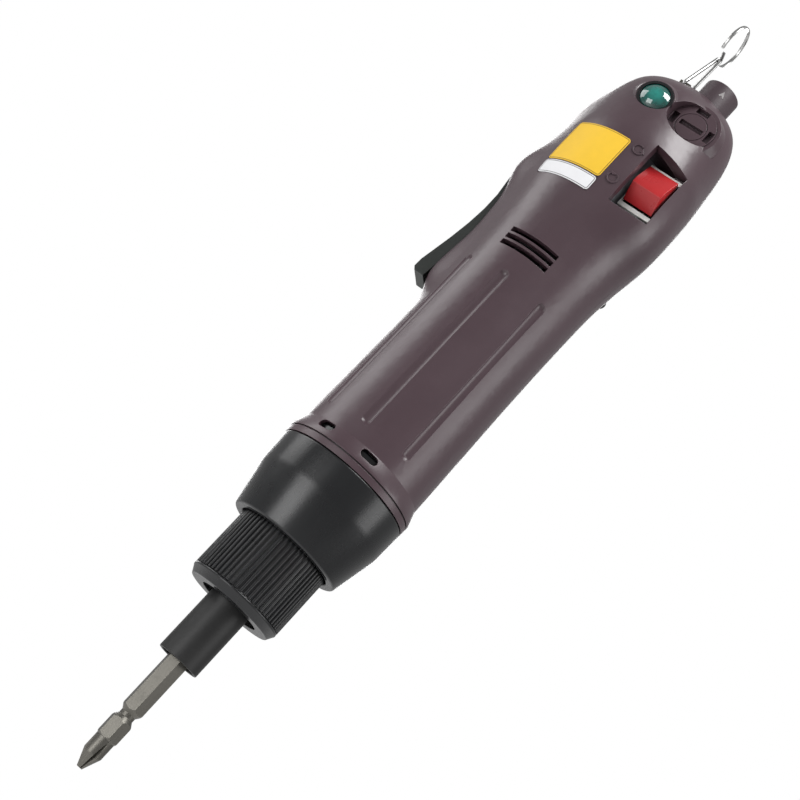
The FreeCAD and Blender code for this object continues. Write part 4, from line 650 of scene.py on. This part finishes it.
def make_socket_mark():
    """The small pale triangle that shows how the plug goes in."""
    mark = Finish("socket_mark_ink", srgb(190, 188, 186), 0.5)
    mark.give("Base Color", mark.blend(mark.noise(0.5 * MM), srgb(110, 106, 106), srgb(140, 136, 136)))

    def fill(work):
        layers = []
        for lift in (6.36, 6.46):
            layer = []
            for angle, z in ((-9, 288.3), (9, 288.3), (0, 290.6)):
                turn = math.radians(-70 + angle)
                layer.append(work.verts.new(((5.0 + lift * math.cos(turn)) * MM, lift * math.sin(turn) * MM, z * MM)))
            layers.append(layer)
        work.faces.new(layers[1])
        work.faces.new(layers[0][::-1])
        for j in range(3):
            work.faces.new((layers[1][j], layers[0][j], layers[0][(j + 1) % 3], layers[1][(j + 1) % 3]))
        bmesh.ops.recalc_face_normals(work, faces=work.faces)

    keep_piece(mesh_piece("socket_mark", fill), "cord_socket", mark.material, replace=False)


make_nose_cap()
make_bit_sleeve()
make_torque_nut()
make_skins()
make_coils()
shell = shell_surface()
make_rotation_mark("turn_mark_front", shell, 5.6, 231.8, -1)
make_rotation_mark("turn_mark_rear", shell, 5.6, 244.8, 1)
make_socket_mark()


# Studio

def make_camera():
    """The photograph's view: the tool's axis rises to the right at its tilt."""
    back = (CAMERA_PLACE - CAMERA_AIM).normalized()
    level_up = (Vector((0, 0, 1)) - back * back.z).normalized()
    level_right = level_up.cross(back)
    right = level_up * math.cos(AXIS_TILT) + level_right * math.sin(AXIS_TILT)
    up = level_up * math.sin(AXIS_TILT) - level_right * math.cos(AXIS_TILT)
    data = bpy.data.cameras.new("studio_camera")
    data.lens = CAMERA_LENS
    data.sensor_width = 36.0
    data.clip_start = 0.01
    camera = bpy.data.objects.new("studio_camera", data)
    turn = Matrix((right, up, back)).transposed().to_4x4()
    camera.matrix_world = Matrix.Translation(CAMERA_PLACE) @ turn
    bpy.context.scene.collection.objects.link(camera)
    bpy.context.scene.camera = camera
    return right, up, back


def soft_box(name, offset, size, power):
    """A square lamp that looks at the middle of the tool from an offset in metres."""
    data = bpy.data.lights.new(name, "AREA")
    data.size = size
    data.energy = power
    lamp = bpy.data.objects.new(name, data)
    turn = (-offset).to_track_quat("-Z", "Y").to_matrix().to_4x4()
    lamp.matrix_world = Matrix.Translation(STUDIO_MIDDLE + offset) @ turn
    bpy.context.scene.collection.objects.link(lamp)


def make_world():
    """White to the camera and in reflections, softer as light."""
    world = bpy.data.worlds.new("studio_world")
    world.use_nodes = True
    nodes, links = world.node_tree.nodes, world.node_tree.links
    paths = nodes.new("ShaderNodeLightPath")
    seen = nodes.new("ShaderNodeMath")
    seen.operation = "MAXIMUM"
    links.new(paths.outputs["Is Camera Ray"], seen.inputs[0])
    links.new(paths.outputs["Is Transmission Ray"], seen.inputs[1])
    mirrored = nodes.new("ShaderNodeMath")
    mirrored.operation = "MULTIPLY_ADD"
    links.new(paths.outputs["Is Glossy Ray"], mirrored.inputs[0])
    mirrored.inputs[1].default_value = MIRRORED_SHARE
    links.new(seen.outputs[0], mirrored.inputs[2])
    shown = nodes.new("ShaderNodeMapRange")
    links.new(mirrored.outputs[0], shown.inputs["Value"])
    shown.inputs["To Min"].default_value = LIGHTING_SHARE
    back = nodes["Background"]
    back.inputs["Color"].default_value = WHITE
    links.new(shown.outputs[0], back.inputs["Strength"])
    bpy.context.scene.world = world


def make_floor():
    """A wide pale floor under the tip; it shows white and still takes the shadow."""

    def fill(work):
        bmesh.ops.create_circle(work, cap_ends=True, segments=96, radius=3.0,
                                matrix=Matrix.Translation((0, 0, FLOOR_HEIGHT)))

    floor = mesh_piece("studio_floor", fill)
    finish = Finish("floor_paper", (0.86, 0.86, 0.86, 1.0), 0.9)
    fibres = finish.noise(4 * MM, 4.0)
    finish.give("Base Color", finish.blend(fibres, (0.85, 0.85, 0.85, 1.0), (0.9, 0.9, 0.9, 1.0)))
    camera, glass, metal = (finish.add("ShaderNodeLightPath", {}, out=f"Is {kind} Ray")
                            for kind in ("Camera", "Transmission", "Glossy"))
    shown = camera.most(glass) + metal * MIRRORED_SHARE
    finish.give("Emission Color", finish.blend(shown, BLACK, WHITE))
    finish.give("Emission Strength", 0.75)
    floor.data.materials.append(finish.material)


right, up, back = make_camera()
soft_box("key_lamp", back * 0.62 - right * 0.42 + up * 0.3, size=0.42, power=3.3)
soft_box("tail_lamp", Vector((0.2, -0.26, 0.58)), size=0.3, power=4.4)
soft_box("side_lamp", back * 0.2 + right * 0.6 - up * 0.25, size=0.35, power=1.6)
soft_box("top_lamp", up * 0.6 - right * 0.35 - back * 0.1, size=0.4, power=2.0)
soft_box("back_lamp", up * 0.1 - back * 0.7, size=0.5, power=4.0)
make_world()
make_floor()
bpy.context.scene.view_settings.view_transform = "Standard"
